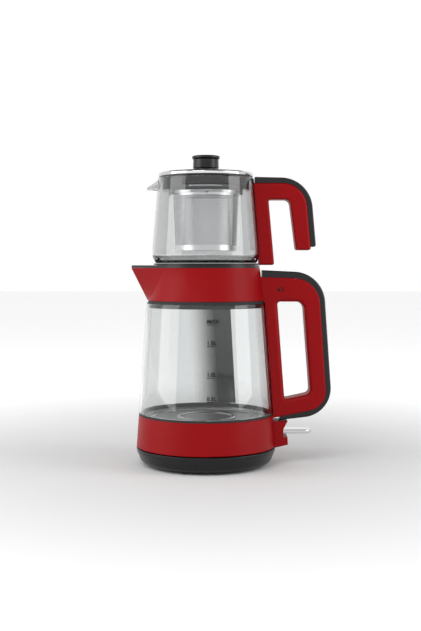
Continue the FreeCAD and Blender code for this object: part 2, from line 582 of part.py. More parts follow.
def add_outline(sketch, corners, prefix="p"):
    """Draw a closed outline of straight sides; a corner with a third value is rounded by it."""
    places = [Vector(as_size(c[0]).value, as_size(c[1]).value, 0) for c in corners]
    rounds = [as_size(c[2]) if len(c) > 2 else None for c in corners]
    count = len(corners)
    arrive, leave, arcs = list(places), list(places), {}
    for i, radius in enumerate(rounds):
        if radius is None:
            continue
        back = (places[i - 1] - places[i]).normalize()
        ahead = (places[(i + 1) % count] - places[i]).normalize()
        half = back.getAngle(ahead) / 2
        reach = radius.value / math.tan(half)
        arrive[i] = places[i] + back * reach
        leave[i] = places[i] + ahead * reach
        middle = places[i] + (back + ahead).normalize() * (radius.value / math.sin(half))
        turn_left = back.cross(ahead).z < 0
        first, last = (arrive[i], leave[i]) if turn_left else (leave[i], arrive[i])
        begin = math.atan2(first.y - middle.y, first.x - middle.x)
        finish = math.atan2(last.y - middle.y, last.x - middle.x)
        circle = Part.Circle(middle, Vector(0, 0, 1), radius.value)
        arcs[i] = (Part.ArcOfCircle(circle, begin, finish), turn_left)
    lines = [sketch.addGeometry(Part.LineSegment(leave[i], arrive[(i + 1) % count]), False)
             for i in range(count)]
    for i in range(count):
        before, after = lines[i - 1], lines[i]
        label = f"{prefix}{i}"
        if rounds[i] is None:
            sketch.addConstraint(Sketcher.Constraint("Coincident", before, 2, after, 1))
            pin_point(sketch, after, 1, *corners[i][:2], label)
            continue
        shape, turn_left = arcs[i]
        arc = sketch.addGeometry(shape, False)
        start, end = (1, 2) if turn_left else (2, 1)
        sketch.addConstraint(Sketcher.Constraint("Tangent", before, 2, arc, start))
        sketch.addConstraint(Sketcher.Constraint("Tangent", arc, end, after, 1))
        index = sketch.addConstraint(Sketcher.Constraint("Radius", arc, rounds[i].value))
        sketch.renameConstraint(index, f"{label}r")
        sketch.setExpression(f"Constraints.{label}r", rounds[i].text)
        corner = sketch.addGeometry(Part.Point(places[i]), True)
        sketch.addConstraint(Sketcher.Constraint("PointOnObject", corner, 1, before))
        sketch.addConstraint(Sketcher.Constraint("PointOnObject", corner, 1, after))
        pin_point(sketch, corner, 1, *corners[i][:2], label)


def add_circle(sketch, x, y, radius, name):
    circle = sketch.addGeometry(
        Part.Circle(Vector(as_size(x).value, as_size(y).value, 0), Vector(0, 0, 1),
                    as_size(radius).value), False)
    pin_point(sketch, circle, 3, x, y, name)
    index = sketch.addConstraint(Sketcher.Constraint("Radius", circle, as_size(radius).value))
    sketch.renameConstraint(index, f"{name}r")
    sketch.setExpression(f"Constraints.{name}r", as_size(radius).text)


def revolve(body, kind, corners, angle=360.0, name="Profile"):
    """Turn an outline in the XZ plane about the Z axis, to add or to cut."""
    sketch = new_sketch(body, f"{name}Sketch", "XZ_Plane")
    add_outline(sketch, corners)
    feature = body.newObject(f"PartDesign::{kind}", name)
    feature.Profile = sketch
    feature.ReferenceAxis = (sketch, ["V_Axis"])
    bind(feature, "Angle", angle)
    return feature


def turned(label, corners, angle=360.0):
    body = new_body(label)
    revolve(body, "Revolution", corners, angle)
    return body


def pad(body, sketch, length, both_ways=False, name="Pad", kind="PartDesign::Pad", reverse=False):
    feature = body.newObject(kind, name)
    feature.Profile = sketch
    bind(feature, "Length", length)
    if both_ways:
        feature.SideType = "Symmetric"
    feature.Reversed = reverse
    return feature


def polar(body, feature, count, name="Pattern"):
    """Repeat a feature evenly round the Z axis."""
    pattern = body.newObject("PartDesign::PolarPattern", name)
    pattern.Originals = [feature]
    pattern.Axis = (origin_plane(body, "Z_Axis"), [""])
    pattern.Angle = 360
    bind(pattern, "Occurrences", count)
    body.Tip = pattern
    return pattern


def edge_names(shape, wanted):
    return [f"Edge{i}" for i, edge in enumerate(shape.Edges, start=1) if wanted(edge)]


def round_edges(body, base, radius, wanted, name):
    """Round the edges of a feature that pass a test."""
    doc.recompute()
    feature = body.newObject("PartDesign::Fillet", name)
    feature.Base = (base, edge_names(base.Shape, wanted))
    bind(feature, "Radius", radius)
    return feature


def side_edges(width, in_opening):
    """A test for edges on the two flat sides, round an opening or round the outside."""
    half = width.value / 2

    def wanted(edge):
        box = edge.BoundBox
        flat = abs(abs(box.YMin) - half) < 1e-4 and box.YLength < 1e-4
        return flat and in_opening(edge.CenterOfMass)

    return wanted


def shape_of(label, kind, place=None, **sizes):
    """A primitive whose sizes, and place in X, Y and Z, come from the sheet."""
    item = doc.addObject(f"Part::{kind}", label)
    item.Label = label
    for prop, value in sizes.items():
        bind(item, prop, value)
    for axis, value in zip("xyz", place or ()):
        bind(item, f".Placement.Base.{axis}", value)
    return item


def ring_places(count, circle, start=0.0):
    """Places evenly spread on a circle, as X and Y sizes."""
    for i in range(count):
        angle = as_size(start) + 360.0 * i / count
        yield circle * cosine(angle), circle * sine(angle)


def upright_screws(label, places, head_bottom, length):
    """Screws pointing up, with their heads at the bottom."""
    screws = []
    for i, (x, y) in enumerate(places, start=1):
        head = shape_of(f"{label}_head_{i}", "Cylinder", (x, y, head_bottom),
                        Radius=size.screw_head, Height=size.screw_head_thick)
        shank = shape_of(f"{label}_shank_{i}", "Cylinder", (x, y, head_bottom),
                         Radius=size.screw_shank, Height=length)
        screw = doc.addObject("Part::Fuse", f"{label}_{i}")
        screw.Base = head
        screw.Tool = shank
        screws.append(screw)
    return group(label, screws)


def group(label, items):
    compound = doc.addObject("Part::Compound", label)
    compound.Label = label
    compound.Links = items
    return compound


# Power base

BASE_SCREWS = 3
FEET = 4


def base_screw_places():
    return ring_places(BASE_SCREWS, size.base_boss_circle)


def foot_places():
    return ring_places(FEET, size.foot_circle, size.foot_start)


def add_sunk_holes(body, places, height, depth):
    """Screw holes up through a plate, each with a sink for the screw's head."""
    sinks = new_sketch(body, "SinkSketch", "XY_Plane", height)
    holes = new_sketch(body, "HoleSketch", "XY_Plane", height)
    for i, (x, y) in enumerate(places):
        add_circle(sinks, x, y, size.sink_radius, f"sink{i}")
        add_circle(holes, x, y, size.screw_bore, f"hole{i}")
    pad(body, sinks, size.sink_depth, name="Sinks", kind="PartDesign::Pocket", reverse=True)
    pad(body, holes, depth + size.cut_over, name="Holes", kind="PartDesign::Pocket",
        reverse=True)


def add_bosses(body, places, height, length):
    """Screw bosses that stand up from a height."""
    sketch = new_sketch(body, "BossSketch", "XY_Plane", height)
    for i, (x, y) in enumerate(places):
        add_circle(sketch, x, y, size.boss_radius, f"boss{i}")
        add_circle(sketch, x, y, size.screw_bore, f"hole{i}")
    pad(body, sketch, length, name="Bosses")


def make_base_shell():
    """Black bowl with a flat deck, screw bosses and a cord outlet at the back."""
    lip = size.base_plate_radius + size.fit_gap
    opening = size.post_radius + size.loose_gap
    rim_top = size.base_plate_top + size.fit_gap
    side_top = size.base_edge_top - size.base_side_drop
    body = turned("base_shell", [
        (opening, size.base_deck),
        (size.base_foot_line - size.base_edge_slope, size.base_deck),
        (size.base_foot_line, size.base_edge_top),
        (size.base_radius, size.base_edge_top, size.base_edge_round),
        (size.base_radius - size.band_step, side_top, size.base_corner),
        (size.base_foot_line, size.foot_rise, size.base_corner),
        (lip, size.foot_rise),
        (lip, rim_top),
        (size.base_foot_line - size.base_wall / 2, rim_top + size.base_wall / 2),
        (size.base_radius - size.base_wall * 1.2, size.deck_under),
        (opening, size.deck_under),
    ])
    add_bosses(body, base_screw_places(), rim_top, size.deck_under - size.base_plate_top)
    outlet = new_sketch(body, "OutletSketch", "XZ_Plane")
    add_circle(outlet, 0, size.outlet_height, size.outlet_radius, "outlet")
    pad(body, outlet, size.base_radius + size.cut_over, name="Outlet",
        kind="PartDesign::Pocket")
    return body


def make_base_bottom():
    """Plate that closes the base, with pockets for the feet and sunk screw holes."""
    body = turned("base_bottom", [
        (0, size.foot_rise), (size.base_plate_radius, size.foot_rise),
        (size.base_plate_radius, size.base_plate_top), (0, size.base_plate_top),
    ])
    pockets = new_sketch(body, "FootPocketSketch", "XY_Plane", size.foot_rise)
    for i, (x, y) in enumerate(foot_places()):
        add_circle(pockets, x, y, size.foot_radius + size.fit_gap, f"foot{i}")
    pad(body, pockets, size.foot_recess, name="FootPockets", kind="PartDesign::Pocket",
        reverse=True)
    add_sunk_holes(body, base_screw_places(), size.foot_rise, size.base_plate_thick)
    return body


def make_base_feet():
    """Rubber pads pressed into the plate's pockets."""
    height = size.foot_rise + size.foot_recess - size.fit_gap
    return group("base_feet", [
        shape_of(f"foot_{i}", "Cylinder", (x, y, 0), Radius=size.foot_radius, Height=height)
        for i, (x, y) in enumerate(foot_places(), start=1)
    ])


def make_base_post():
    """Round connector that the kettle drops onto from any side."""
    flange = size.post_radius + size.post_flange
    foot_radius = size.post_radius - size.post_foot_inset
    flange_top = size.deck_under - size.fit_gap
    flange_low = flange_top - size.post_flange_thick
    foot = size.base_plate_top + size.fit_gap
    return turned("base_connector", [
        (size.post_bore, foot), (foot_radius, foot), (foot_radius, flange_low),
        (flange, flange_low), (flange, flange_top), (size.post_radius, flange_top),
        (size.post_radius, size.post_top, size.post_edge),
        (size.post_groove_out, size.post_top), (size.post_groove_out, size.groove_floor),
        (size.post_groove_in, size.groove_floor), (size.post_groove_in, size.post_top),
        (size.post_bore, size.post_top),
    ])


def make_base_contacts():
    """Brass ring and centre sleeve inside the connector post."""
    floor = size.groove_floor + size.fit_gap
    high = size.post_top - size.contact_sunk
    pieces = []
    for name, radius in (("contact_ring", size.post_groove_out),
                         ("contact_sleeve", size.post_bore)):
        outer = radius - size.fit_gap
        inner = outer - size.contact_thick
        pieces.append(turned(name, [(inner, floor), (outer, floor), (outer, high),
                                    (inner, high)]))
    return group("base_contacts", pieces)


def make_cord_grommet():
    """Rubber ring that lines the cord outlet in the back of the base."""
    wall_inside = size.base_foot_line - size.base_wall - size.grommet_depth
    wall_outside = size.base_radius - size.grommet_recess
    body = new_body("cord_grommet")
    sketch = new_sketch(body, "GrommetSketch", "YZ_Plane")
    low = size.outlet_height + size.outlet_bore
    high = size.outlet_height + size.outlet_radius - size.fit_gap
    add_outline(sketch, [
        (wall_inside, low), (wall_outside, low), (wall_outside, high), (wall_inside, high),
    ])
    axis = sketch.addGeometry(Part.LineSegment(
        Vector(0, size.outlet_height.value, 0),
        Vector(wall_outside.value, size.outlet_height.value, 0)), True)
    pin_point(sketch, axis, 1, 0, size.outlet_height, "axisa")
    pin_point(sketch, axis, 2, wall_outside, size.outlet_height, "axisb")
    ring = body.newObject("PartDesign::Revolution", "Ring")
    ring.Profile = sketch
    ring.ReferenceAxis = (sketch, ["Axis0"])
    ring.Angle = 360
    return body


# Kettle base: band, bottom cover, connector and heater

COVER_SCREWS = 3
band_inner = size.band_radius - size.band_wall
band_lean = size.band_taper / size.band_height


def band_outside(height):
    return size.band_radius - band_lean * (height - size.band_bottom)


def cover_screw_places():
    return ring_places(COVER_SCREWS, size.cover_screw_circle, size.cover_screw_start)


def make_lower_band():
    """Red band with a ledge for the heater seal, screw bosses and the lever's slot."""
    ledge_inner = size.plate_radius - size.ledge_width
    skirt = size.band_top_radius - size.band_wall
    body = turned("lower_band", [
        (band_inner, size.band_bottom),
        (size.band_radius, size.band_bottom, size.band_edge),
        (size.band_top_radius, size.band_top, size.band_edge / 2),
        (skirt, size.band_top),
        (skirt, size.ledge_top),
        (ledge_inner, size.ledge_top),
        (ledge_inner, size.band_ledge),
        (band_outside(size.band_ledge) - size.band_wall, size.band_ledge),
    ])
    add_bosses(body, cover_screw_places(), size.cover_top + size.fit_gap, size.boss_height)
    slot = new_sketch(body, "SlotSketch", "YZ_Plane", size.plate_radius)
    half = size.lever_arm_width / 2 + size.loose_gap * 3
    swing = size.lever_arm_thick / 2 + size.lever_swing
    add_outline(slot, [
        (-half, size.lever_mid - swing), (half, size.lever_mid - swing),
        (half, size.lever_mid + swing), (-half, size.lever_mid + swing),
    ])
    pad(body, slot, size.band_radius - size.plate_radius + size.cut_over, name="LeverSlot",
        kind="PartDesign::Pocket", reverse=True)
    return body


def make_kettle_bottom():
    """Black cover under the kettle, with a hole for the connector cup."""
    hole = size.cup_radius + size.fit_gap
    edge = band_inner - size.fit_gap
    body = turned("kettle_bottom", [
        (hole, size.band_bottom), (edge, size.band_bottom),
        (edge - band_lean * size.bottom_cover_thick, size.cover_top), (hole, size.cover_top),
    ])
    add_sunk_holes(body, cover_screw_places(), size.band_bottom, size.bottom_cover_thick)
    return body


def make_kettle_connector():
    """Cup that fits over the base's post and holds the kettle's contacts."""
    flange = size.cup_radius + size.cup_flange
    low = size.band_bottom + size.fit_gap
    flange_low = size.cover_top + size.fit_gap
    flange_top = flange_low + size.cup_flange_thick
    return turned("kettle_connector", [
        (size.cup_bore, low), (size.cup_radius, low),
        (size.cup_radius, flange_low), (flange, flange_low),
        (flange, flange_top), (size.cup_radius, flange_top),
        (size.cup_radius, size.cup_top), (0, size.cup_top),
        (0, size.cup_depth_top), (size.cup_bore, size.cup_depth_top),
    ])


def make_connector_pins():
    """Brass centre pin and ring blade of the kettle's connector."""
    top = size.cup_depth_top - size.fit_gap
    low = size.groove_floor + size.pin_clear
    middle = (size.post_groove_in + size.post_groove_out) / 2
    inner = middle - size.contact_thick * 0.7
    outer = middle + size.contact_thick * 0.3
    pin_radius = size.post_bore - size.fit_gap - size.contact_thick - size.pin_play
    pin = shape_of("centre_pin", "Cylinder", (0, 0, low), Radius=pin_radius, Height=top - low)
    ring = turned("ring_blade", [(inner, low), (outer, low), (outer, top), (inner, top)])
    return group("connector_pins", [pin, ring])


def make_heating_plate():
    """Thin steel plate with two pressed rings and an upturned edge."""
    top, low = size.plate_top, size.plate_height
    rim_top = top + size.plate_edge_rise
    rim_inner = size.plate_radius - size.plate_thick
    flat, slope = size.plate_ring_width, size.plate_ring_slope
    outline = [(0, low), (size.plate_radius, low), (size.plate_radius, rim_top),
               (rim_inner, rim_top), (rim_inner, top)]
    for ring in (size.plate_ring_radius, size.plate_ring_radius / 2):
        rise = top + size.plate_ring_rise
        outline += [(ring + flat + slope, top), (ring + flat, rise), (ring - flat, rise),
                    (ring - flat - slope, top)]
    return turned("heating_plate", outline + [(0, top)])


def make_heat_spreader():
    low = size.plate_height - size.fit_gap - size.spreader_thick
    return shape_of("heat_spreader", "Cylinder", (0, 0, low), Radius=size.spreader_radius,
                    Height=size.spreader_thick)


def make_heating_element():
    """Open ring of heating rod under the spreader."""
    centre = size.plate_height - size.fit_gap * 2 - size.spreader_thick - size.element_radius
    element = shape_of("heating_element", "Torus", (0, 0, centre),
                       Radius1=size.element_circle, Radius2=size.element_radius)
    bind(element, "Angle3", 360.0 - size.element_gap_angle)
    element.Placement.Rotation = Rotation(Vector(0, 0, 1), 1)
    bind(element, ".Placement.Rotation.Angle", size.element_gap_angle / 2)
    return element


def make_control_unit():
    """Flat control on the connector, reaching out to the lever's arm."""
    body = new_body("control_unit")
    sketch = new_sketch(body, "ControlSketch", "XZ_Plane")
    low = size.cup_top + size.fit_gap
    high = low + size.control_height
    nose_top = low + size.control_nose_rise
    nose_start = size.control_reach - size.control_nose
    add_outline(sketch, [
        (-size.control_back, low), (nose_start, low),
        (nose_start, nose_top - size.control_nose_thick),
        (size.control_reach, nose_top - size.control_nose_thick),
        (size.control_reach, nose_top),
        (size.control_reach - size.control_nose / 2, high),
        (-size.control_back, high, size.lever_edge),
    ])
    pad(body, sketch, size.control_width, both_ways=True, name="Control")
    return body


def make_lower_gasket():
    """Dark seal under the glass and round the heating plate."""
    seat = size.band_top + size.fit_gap
    outer = size.band_top_radius - size.glass_step
    foot = size.ledge_top + size.fit_gap
    return turned("lower_gasket", [
        (size.gasket_inner, foot), (size.skirt_outer, foot), (size.skirt_outer, seat),
        (outer, seat), (outer, seat + size.gasket_height),
        (size.gasket_inner, seat + size.gasket_height),
    ])


# Kettle glass and collar

def make_kettle_glass():
    low, high = size.glass_bottom, size.glass_top
    return turned("kettle_glass", [
        (size.glass_radius - size.glass_wall, low), (size.glass_radius, low, size.glass_edge),
        (size.glass_top_radius, high, size.glass_edge),
        (size.glass_top_radius - size.glass_wall, high),
    ])


def make_upper_gasket():
    """Seal between the glass and the collar, with a skirt inside the glass."""
    seat = size.glass_top + size.fit_gap
    high = seat + size.upper_seal_height
    outer = size.glass_top_radius - size.glass_wall - size.fit_gap
    inner = outer - size.upper_seal_wall
    return turned("upper_gasket", [
        (inner, seat - size.upper_seal_skirt), (outer, seat - size.upper_seal_skirt),
        (outer, seat), (size.glass_top_radius - size.glass_edge, seat),
        (size.collar_radius - size.glass_edge, high), (inner, high),
    ])


def add_spout_outline(sketch, radius, nose_centre, nose):
    """Circle with a pointed spout: big arc, side, nose arc, side."""
    lean = math.acos((radius.value - nose.value) / nose_centre.value)
    away = math.pi - lean
    big = sketch.addGeometry(Part.ArcOfCircle(
        Part.Circle(Vector(), Vector(0, 0, 1), radius.value), -away, away), False)
    centre = Vector(-nose_centre.value, 0, 0)
    tip = sketch.addGeometry(Part.ArcOfCircle(
        Part.Circle(centre, Vector(0, 0, 1), nose.value), away, 2 * math.pi - away), False)
    direction = Vector(math.cos(away), math.sin(away), 0)
    mirrored = Vector(direction.x, -direction.y, 0)
    upper = sketch.addGeometry(Part.LineSegment(
        direction * radius.value, centre + direction * nose.value), False)
    lower = sketch.addGeometry(Part.LineSegment(
        centre + mirrored * nose.value, mirrored * radius.value), False)
    sketch.addConstraint([
        Sketcher.Constraint("Coincident", big, 3, -1, 1),
        Sketcher.Constraint("PointOnObject", tip, 3, -1),
        Sketcher.Constraint("Tangent", big, 2, upper, 1),
        Sketcher.Constraint("Tangent", upper, 2, tip, 1),
        Sketcher.Constraint("Tangent", tip, 2, lower, 1),
        Sketcher.Constraint("Tangent", lower, 2, big, 1),
    ])
    for kind, geometry, value, name in (("Radius", big, radius, "big"),
                                        ("Radius", tip, nose, "nose")):
        index = sketch.addConstraint(Sketcher.Constraint(kind, geometry, value.value))
        sketch.renameConstraint(index, name)
        sketch.setExpression(f"Constraints.{name}", value.text)
    index = sketch.addConstraint(
        Sketcher.Constraint("DistanceX", tip, 3, -1, 1, nose_centre.value))
    sketch.renameConstraint(index, "reach")
    sketch.setExpression("Constraints.reach", nose_centre.text)


def add_spout_loft(body, kind, name, inset):
    """Loft from the collar's foot to its top, a distance inside its outside."""
    sections = []
    for part, height, radius, centre in (
            ("Low", size.collar_bottom, size.collar_radius, size.spout_centre_low),
            ("High", size.collar_top, size.collar_top_radius, size.spout_centre_high)):
        sketch = new_sketch(body, f"{name}{part}Sketch", "XY_Plane", height)
        add_spout_outline(sketch, radius - inset, centre, size.spout_nose - inset)
        sections.append(sketch)
    loft = body.newObject(f"PartDesign::{kind}", name)
    loft.Profile = sections[0]
    loft.Sections = [sections[1]]
    loft.Ruled = True


def handle_screw_places():
    return [(side * size.handle_screw_side, size.handle_screw_height) for side in (-1, 1)]


def add_handle_screw_holes(body, length):
    """Level holes at the back for the two handle screws."""
    holes = new_sketch(body, "ScrewHoleSketch", "YZ_Plane", size.handle_screw_start)
    for i, (y, z) in enumerate(handle_screw_places()):
        add_circle(holes, y, z, size.screw_bore, f"hole{i}")
    pad(body, holes, length, name="ScrewHoles", kind="PartDesign::Pocket", reverse=True)


def make_collar():
    """Red collar lofted from a round foot to a beak-shaped top, hollow right through."""
    body = new_body("collar")
    add_spout_loft(body, "AdditiveLoft", "Outside", as_size(0))
    add_spout_loft(body, "SubtractiveLoft", "Inside", size.collar_wall)
    add_handle_screw_holes(body, size.handle_screw_length)
    return body


def make_collar_trim():
    """Black trim on the collar, open for the kettle lid and the spout."""
    body = new_body("collar_trim")
    sketch = new_sketch(body, "TrimSketch", "XY_Plane", size.trim_bottom)
    add_spout_outline(sketch, size.collar_top_radius - size.trim_inset, size.spout_centre_high,
                      size.spout_nose - size.trim_inset)
    pad(body, sketch, size.trim_thick, name="Trim")
    opening = new_sketch(body, "OpeningSketch", "XY_Plane", size.trim_bottom)
    add_spout_outline(opening, size.lid_bore, size.spout_centre_high - size.trim_lip,
                      size.trim_nose)
    pad(body, opening, size.trim_thick + size.cut_over, name="Opening",
        kind="PartDesign::Pocket", reverse=True)
    return body


def make_spout_filter():
    """Upright slotted filter that fills the spout's root from wall to wall."""
    low, high = size.collar_bottom + size.filter_foot, size.collar_top - size.filter_head
    slot_low, slot_high = low + size.filter_slot_low, high - size.filter_slot_high
    half_width = root(size.collar_radius * size.collar_radius
                      - size.filter_place * size.filter_place)
    plate = new_body("filter_plate")
    sketch = new_sketch(plate, "FilterSketch", "YZ_Plane", -size.filter_place)
    add_outline(sketch, [
        (-half_width, low), (half_width, low), (half_width, high), (-half_width, high),
    ])
    pad(plate, sketch, size.filter_thick, name="Plate")
    slot = new_sketch(plate, "SlotSketch", "YZ_Plane", -size.filter_place)
    reach = size.filter_pitch * (size.filter_slots - 1) / 2
    half = size.filter_slot_width / 2
    add_outline(slot, [
        (-reach - half, slot_low), (-reach + half, slot_low),
        (-reach + half, slot_high), (-reach - half, slot_high),
    ])
    cut = pad(plate, slot, size.filter_thick + size.cut_over, name="Slot",
              kind="PartDesign::Pocket", reverse=True)
    slots = plate.newObject("PartDesign::LinearPattern", "Slots")
    slots.Originals = [cut]
    slots.Direction = (slot, ["H_Axis"])
    bind(slots, "Occurrences", size.filter_slots)
    bind(slots, "Length", reach * 2)
    plate.Tip = slots
    inside = new_body("filter_outline")
    add_spout_loft(inside, "AdditiveLoft", "Inside", size.collar_wall + size.fit_gap)
    filter_piece = doc.addObject("Part::Common", "spout_filter")
    filter_piece.Base = plate
    filter_piece.Tool = inside
    return filter_piece


# Kettle handle

def make_kettle_handle():
    """Closed loop handle, hollowed to the curve of the glass, collar and band."""
    body = new_body("kettle_handle")
    sketch = new_sketch(body, "OutlineSketch", "XZ_Plane")
    add_outline(sketch, [
        (size.handle_inner, size.handle_root_height),
        (size.handle_low_x, size.handle_low_z, size.handle_low_round),
        (size.handle_high_x, size.handle_high_z, size.handle_high_round),
        (size.handle_inner, size.handle_start_height),
    ])
    add_outline(sketch, [
        (size.grip_low_in_x, size.grip_low_in_z, size.grip_inner_round),
        (size.grip_low_out_x, size.grip_low_out_z, size.grip_low_round),
        (size.grip_high_out_x, size.grip_high_z, size.grip_high_round),
        (size.grip_high_in_x, size.grip_high_z, size.grip_inner_round),
    ], prefix="grip")
    block = pad(body, sketch, size.handle_width, both_ways=True, name="Block")
    low, high = size.grip_low_in_z.value - 1.0, size.grip_high_z.value + 1.0
    near, far = size.grip_high_in_x.value - 1.0, size.grip_low_out_x.value + 1.0

    def in_grip(point):
        return near < point.x < far and low < point.z < high

    soft = round_edges(body, block, size.grip_edge, side_edges(size.handle_width, in_grip),
                       "GripEdges")
    soft = round_edges(body, soft, size.handle_edge,
                       side_edges(size.handle_width, lambda p: not in_grip(p)), "OuterEdges")
    gap, glass_gap = size.fit_gap, size.handle_glass_gap
    above = size.collar_top + size.cut_over
    revolve(body, "Groove", [
        (0, size.band_bottom), (size.band_radius + gap, size.band_bottom),
        (size.band_top_radius + gap, size.band_top + gap),
        (size.glass_radius + glass_gap, size.glass_bottom),
        (size.glass_top_radius + glass_gap, size.glass_top),
        (size.collar_radius + gap, size.collar_bottom),
        (size.collar_top_radius + gap, size.collar_top),
        (size.collar_top_radius + gap, above), (0, above),
    ], name="BodyCut")
    add_handle_screw_holes(body, size.handle_screw_length + size.cut_over)
    return body


def make_handle_strip():
    """Black strip along the outside of the handle."""
    body = new_body("handle_strip")
    sketch = new_sketch(body, "StripSketch", "XZ_Plane")
    gap = size.fit_gap
    lean = (size.handle_start_height - size.handle_high_z) / (
        size.handle_high_x - size.handle_inner)
    under_start = size.handle_start_height - lean * (size.strip_start_x - size.handle_inner)
    rise = (size.handle_low_z - size.handle_root_height) / (
        size.handle_low_x - size.handle_inner)
    over_end = size.handle_root_height + rise * (size.strip_end_x - size.handle_inner)
    add_outline(sketch, [
        (size.strip_start_x, under_start + gap),
        (size.handle_high_x + gap, size.handle_high_z + gap, size.handle_high_round + gap),
        (size.handle_low_x + gap, size.handle_low_z - gap, size.handle_low_round + gap),
        (size.strip_end_x, over_end - gap),
        (size.strip_end_x, size.strip_end_z),
        (size.strip_low_x, size.strip_low_z, size.strip_low_round),
        (size.strip_high_x, size.strip_high_z, size.strip_high_round),
        (size.strip_start_x, size.strip_start_z),
    ])
    block = pad(body, sketch, size.strip_width, both_ways=True, name="Strip")

    def on_outside(edge):
        box = edge.BoundBox
        flat = box.YLength < 1e-4
        middle = edge.CenterOfMass
        outside = (middle.x > size.handle_low_x.value + 1.5
                   or middle.z > size.handle_high_z.value + 4.0
                   or (middle.z < size.strip_low_z.value + 3.0
                       and middle.z < over_end.value + 0.12 * (middle.x - size.strip_end_x.value)
                       - 0.5))
        long_enough = edge.Length > 8.0
        return flat and outside and long_enough

    round_edges(body, block, size.strip_edge, on_outside, "StripEdges")
    return body


def make_handle_screws():
    """Two screws through the collar into the handle."""
    screws = []
    for i, (y, z) in enumerate(handle_screw_places(), start=1):
        place = (size.handle_screw_start, y, z)
        head = shape_of(f"handle_head_{i}", "Cylinder", place, Radius=size.screw_head,
                        Height=size.screw_head_thick)
        shank = shape_of(f"handle_shank_{i}", "Cylinder", place, Radius=size.screw_shank,
                         Height=size.handle_screw_length)
        for item in (head, shank):
            item.Placement.Rotation = Rotation(Vector(0, 1, 0), 90)
        screw = doc.addObject("Part::Fuse", f"handle_screw_{i}")
        screw.Base = head
        screw.Tool = shank
        screws.append(screw)
    return group("handle_screws", screws)


# Switch

def add_pin_bore(body, length):
    """Bore across the housing or the lever for the pin."""
    bore = new_sketch(body, "PinBoreSketch", "XZ_Plane")
    add_circle(bore, size.lever_pivot_x, size.lever_mid, size.lever_pin + size.lever_pin_gap,
               "pin")
    pad(body, bore, length, both_ways=True, name="PinBore", kind="PartDesign::Pocket")


def make_switch_housing():
    """Red bulge on the band, notched and hollow where the lever comes out."""
    body = new_body("switch_housing")
    sketch = new_sketch(body, "HousingSketch", "XZ_Plane")
    start = size.plate_radius
    add_outline(sketch, [
        (start, size.switch_low_in),
        (size.base_radius + size.loose_gap, size.switch_low_in),
        (size.switch_reach, size.switch_low_out),
        (size.switch_reach - size.switch_lean, size.notch_low),
        (size.notch_back, size.notch_low),
        (size.notch_back, size.notch_high),
        (size.switch_reach - size.switch_lean, size.switch_top),
        (start, size.switch_top),
    ])
    block = pad(body, sketch, size.switch_width, both_ways=True, name="Block")
    above, below = size.notch_high.value + 1.0, size.notch_low.value - 1.0

    def outer_side(edge):
        middle = edge.CenterOfMass
        outside = (middle.z > above or middle.z < below) and middle.x > start.value + 1.0
        return edge.BoundBox.YLength < 1e-4 and outside

    round_edges(body, block, size.switch_edge, outer_side, "Edges")
    cavity = new_sketch(body, "CavitySketch", "XZ_Plane")
    clear = size.lever_hub + size.lever_hub_gap
    back = size.notch_back - size.switch_cover_wall
    front = size.switch_reach + size.cut_over
    inside = start - size.cut_over
    add_outline(cavity, [
        (inside, size.lever_mid - clear), (back, size.lever_mid - clear),
        (front, size.notch_low), (front, size.notch_high), (size.notch_back, size.notch_high),
        (back, size.lever_mid + clear), (inside, size.lever_mid + clear),
    ])
    pad(body, cavity, size.lever_width + size.lever_side_gap * 2, both_ways=True,
        name="Cavity", kind="PartDesign::Pocket")
    wide = size.base_radius + size.loose_gap
    revolve(body, "Groove", [
        (0, size.foot_rise), (wide, size.foot_rise), (wide, size.base_deck),
        (size.band_radius + size.fit_gap, size.band_bottom),
        (size.band_top_radius + size.fit_gap, size.band_top), (0, size.band_top),
    ], name="BandCut")
    add_pin_bore(body, size.lever_width + size.lever_pin_bite * 2 + size.fit_gap * 4)
    return body


def make_lever_pin():
    length = size.lever_width + size.lever_pin_bite * 2
    pin = shape_of("lever_pin", "Cylinder", (size.lever_pivot_x, length / 2, size.lever_mid),
                   Radius=size.lever_pin, Height=length)
    pin.Placement.Rotation = Rotation(Vector(1, 0, 0), 90)
    return pin


def make_switch_lever():
    """Bright paddle with a round tip, a hub on the pin and an arm into the kettle."""
    body = new_body("switch_lever")
    plan = new_sketch(body, "PlanSketch", "XY_Plane", size.lever_top - size.lever_thick)
    half = size.lever_width / 2
    start = size.lever_pivot_x + size.lever_hub - size.lever_pin / 4
    tip_round = half - size.fit_gap
    add_outline(plan, [
        (start, -half), (size.lever_reach, -half, tip_round),
        (size.lever_reach, half, tip_round), (start, half),
    ])
    block = pad(body, plan, size.lever_thick, name="Paddle")
    top, low = size.lever_top.value, size.lever_top.value - size.lever_thick.value

    def rim(edge):
        box = edge.BoundBox
        level = box.ZLength < 1e-4 and (abs(box.ZMax - top) < 1e-4 or abs(box.ZMin - low) < 1e-4)
        return level and edge.CenterOfMass.x > start.value + 0.1

    round_edges(body, block, size.lever_edge, rim, "PaddleEdges")
    hub = new_sketch(body, "HubSketch", "XZ_Plane")
    add_circle(hub, size.lever_pivot_x, size.lever_mid, size.lever_hub, "hub")
    pad(body, hub, size.lever_width, both_ways=True, name="Hub")
    arm = new_sketch(body, "ArmSketch", "XZ_Plane")
    arm_low = size.lever_mid - size.lever_arm_thick / 2
    arm_high = size.lever_mid + size.lever_arm_thick / 2
    add_outline(arm, [
        (size.lever_arm_reach, arm_low), (size.lever_pivot_x, arm_low),
        (size.lever_pivot_x, arm_high), (size.lever_arm_reach, arm_high),
    ])
    pad(body, arm, size.lever_arm_width, both_ways=True, name="Arm")
    add_pin_bore(body, size.lever_width + size.cut_over)
    return body


# Kettle lid, which is also the teapot's stand

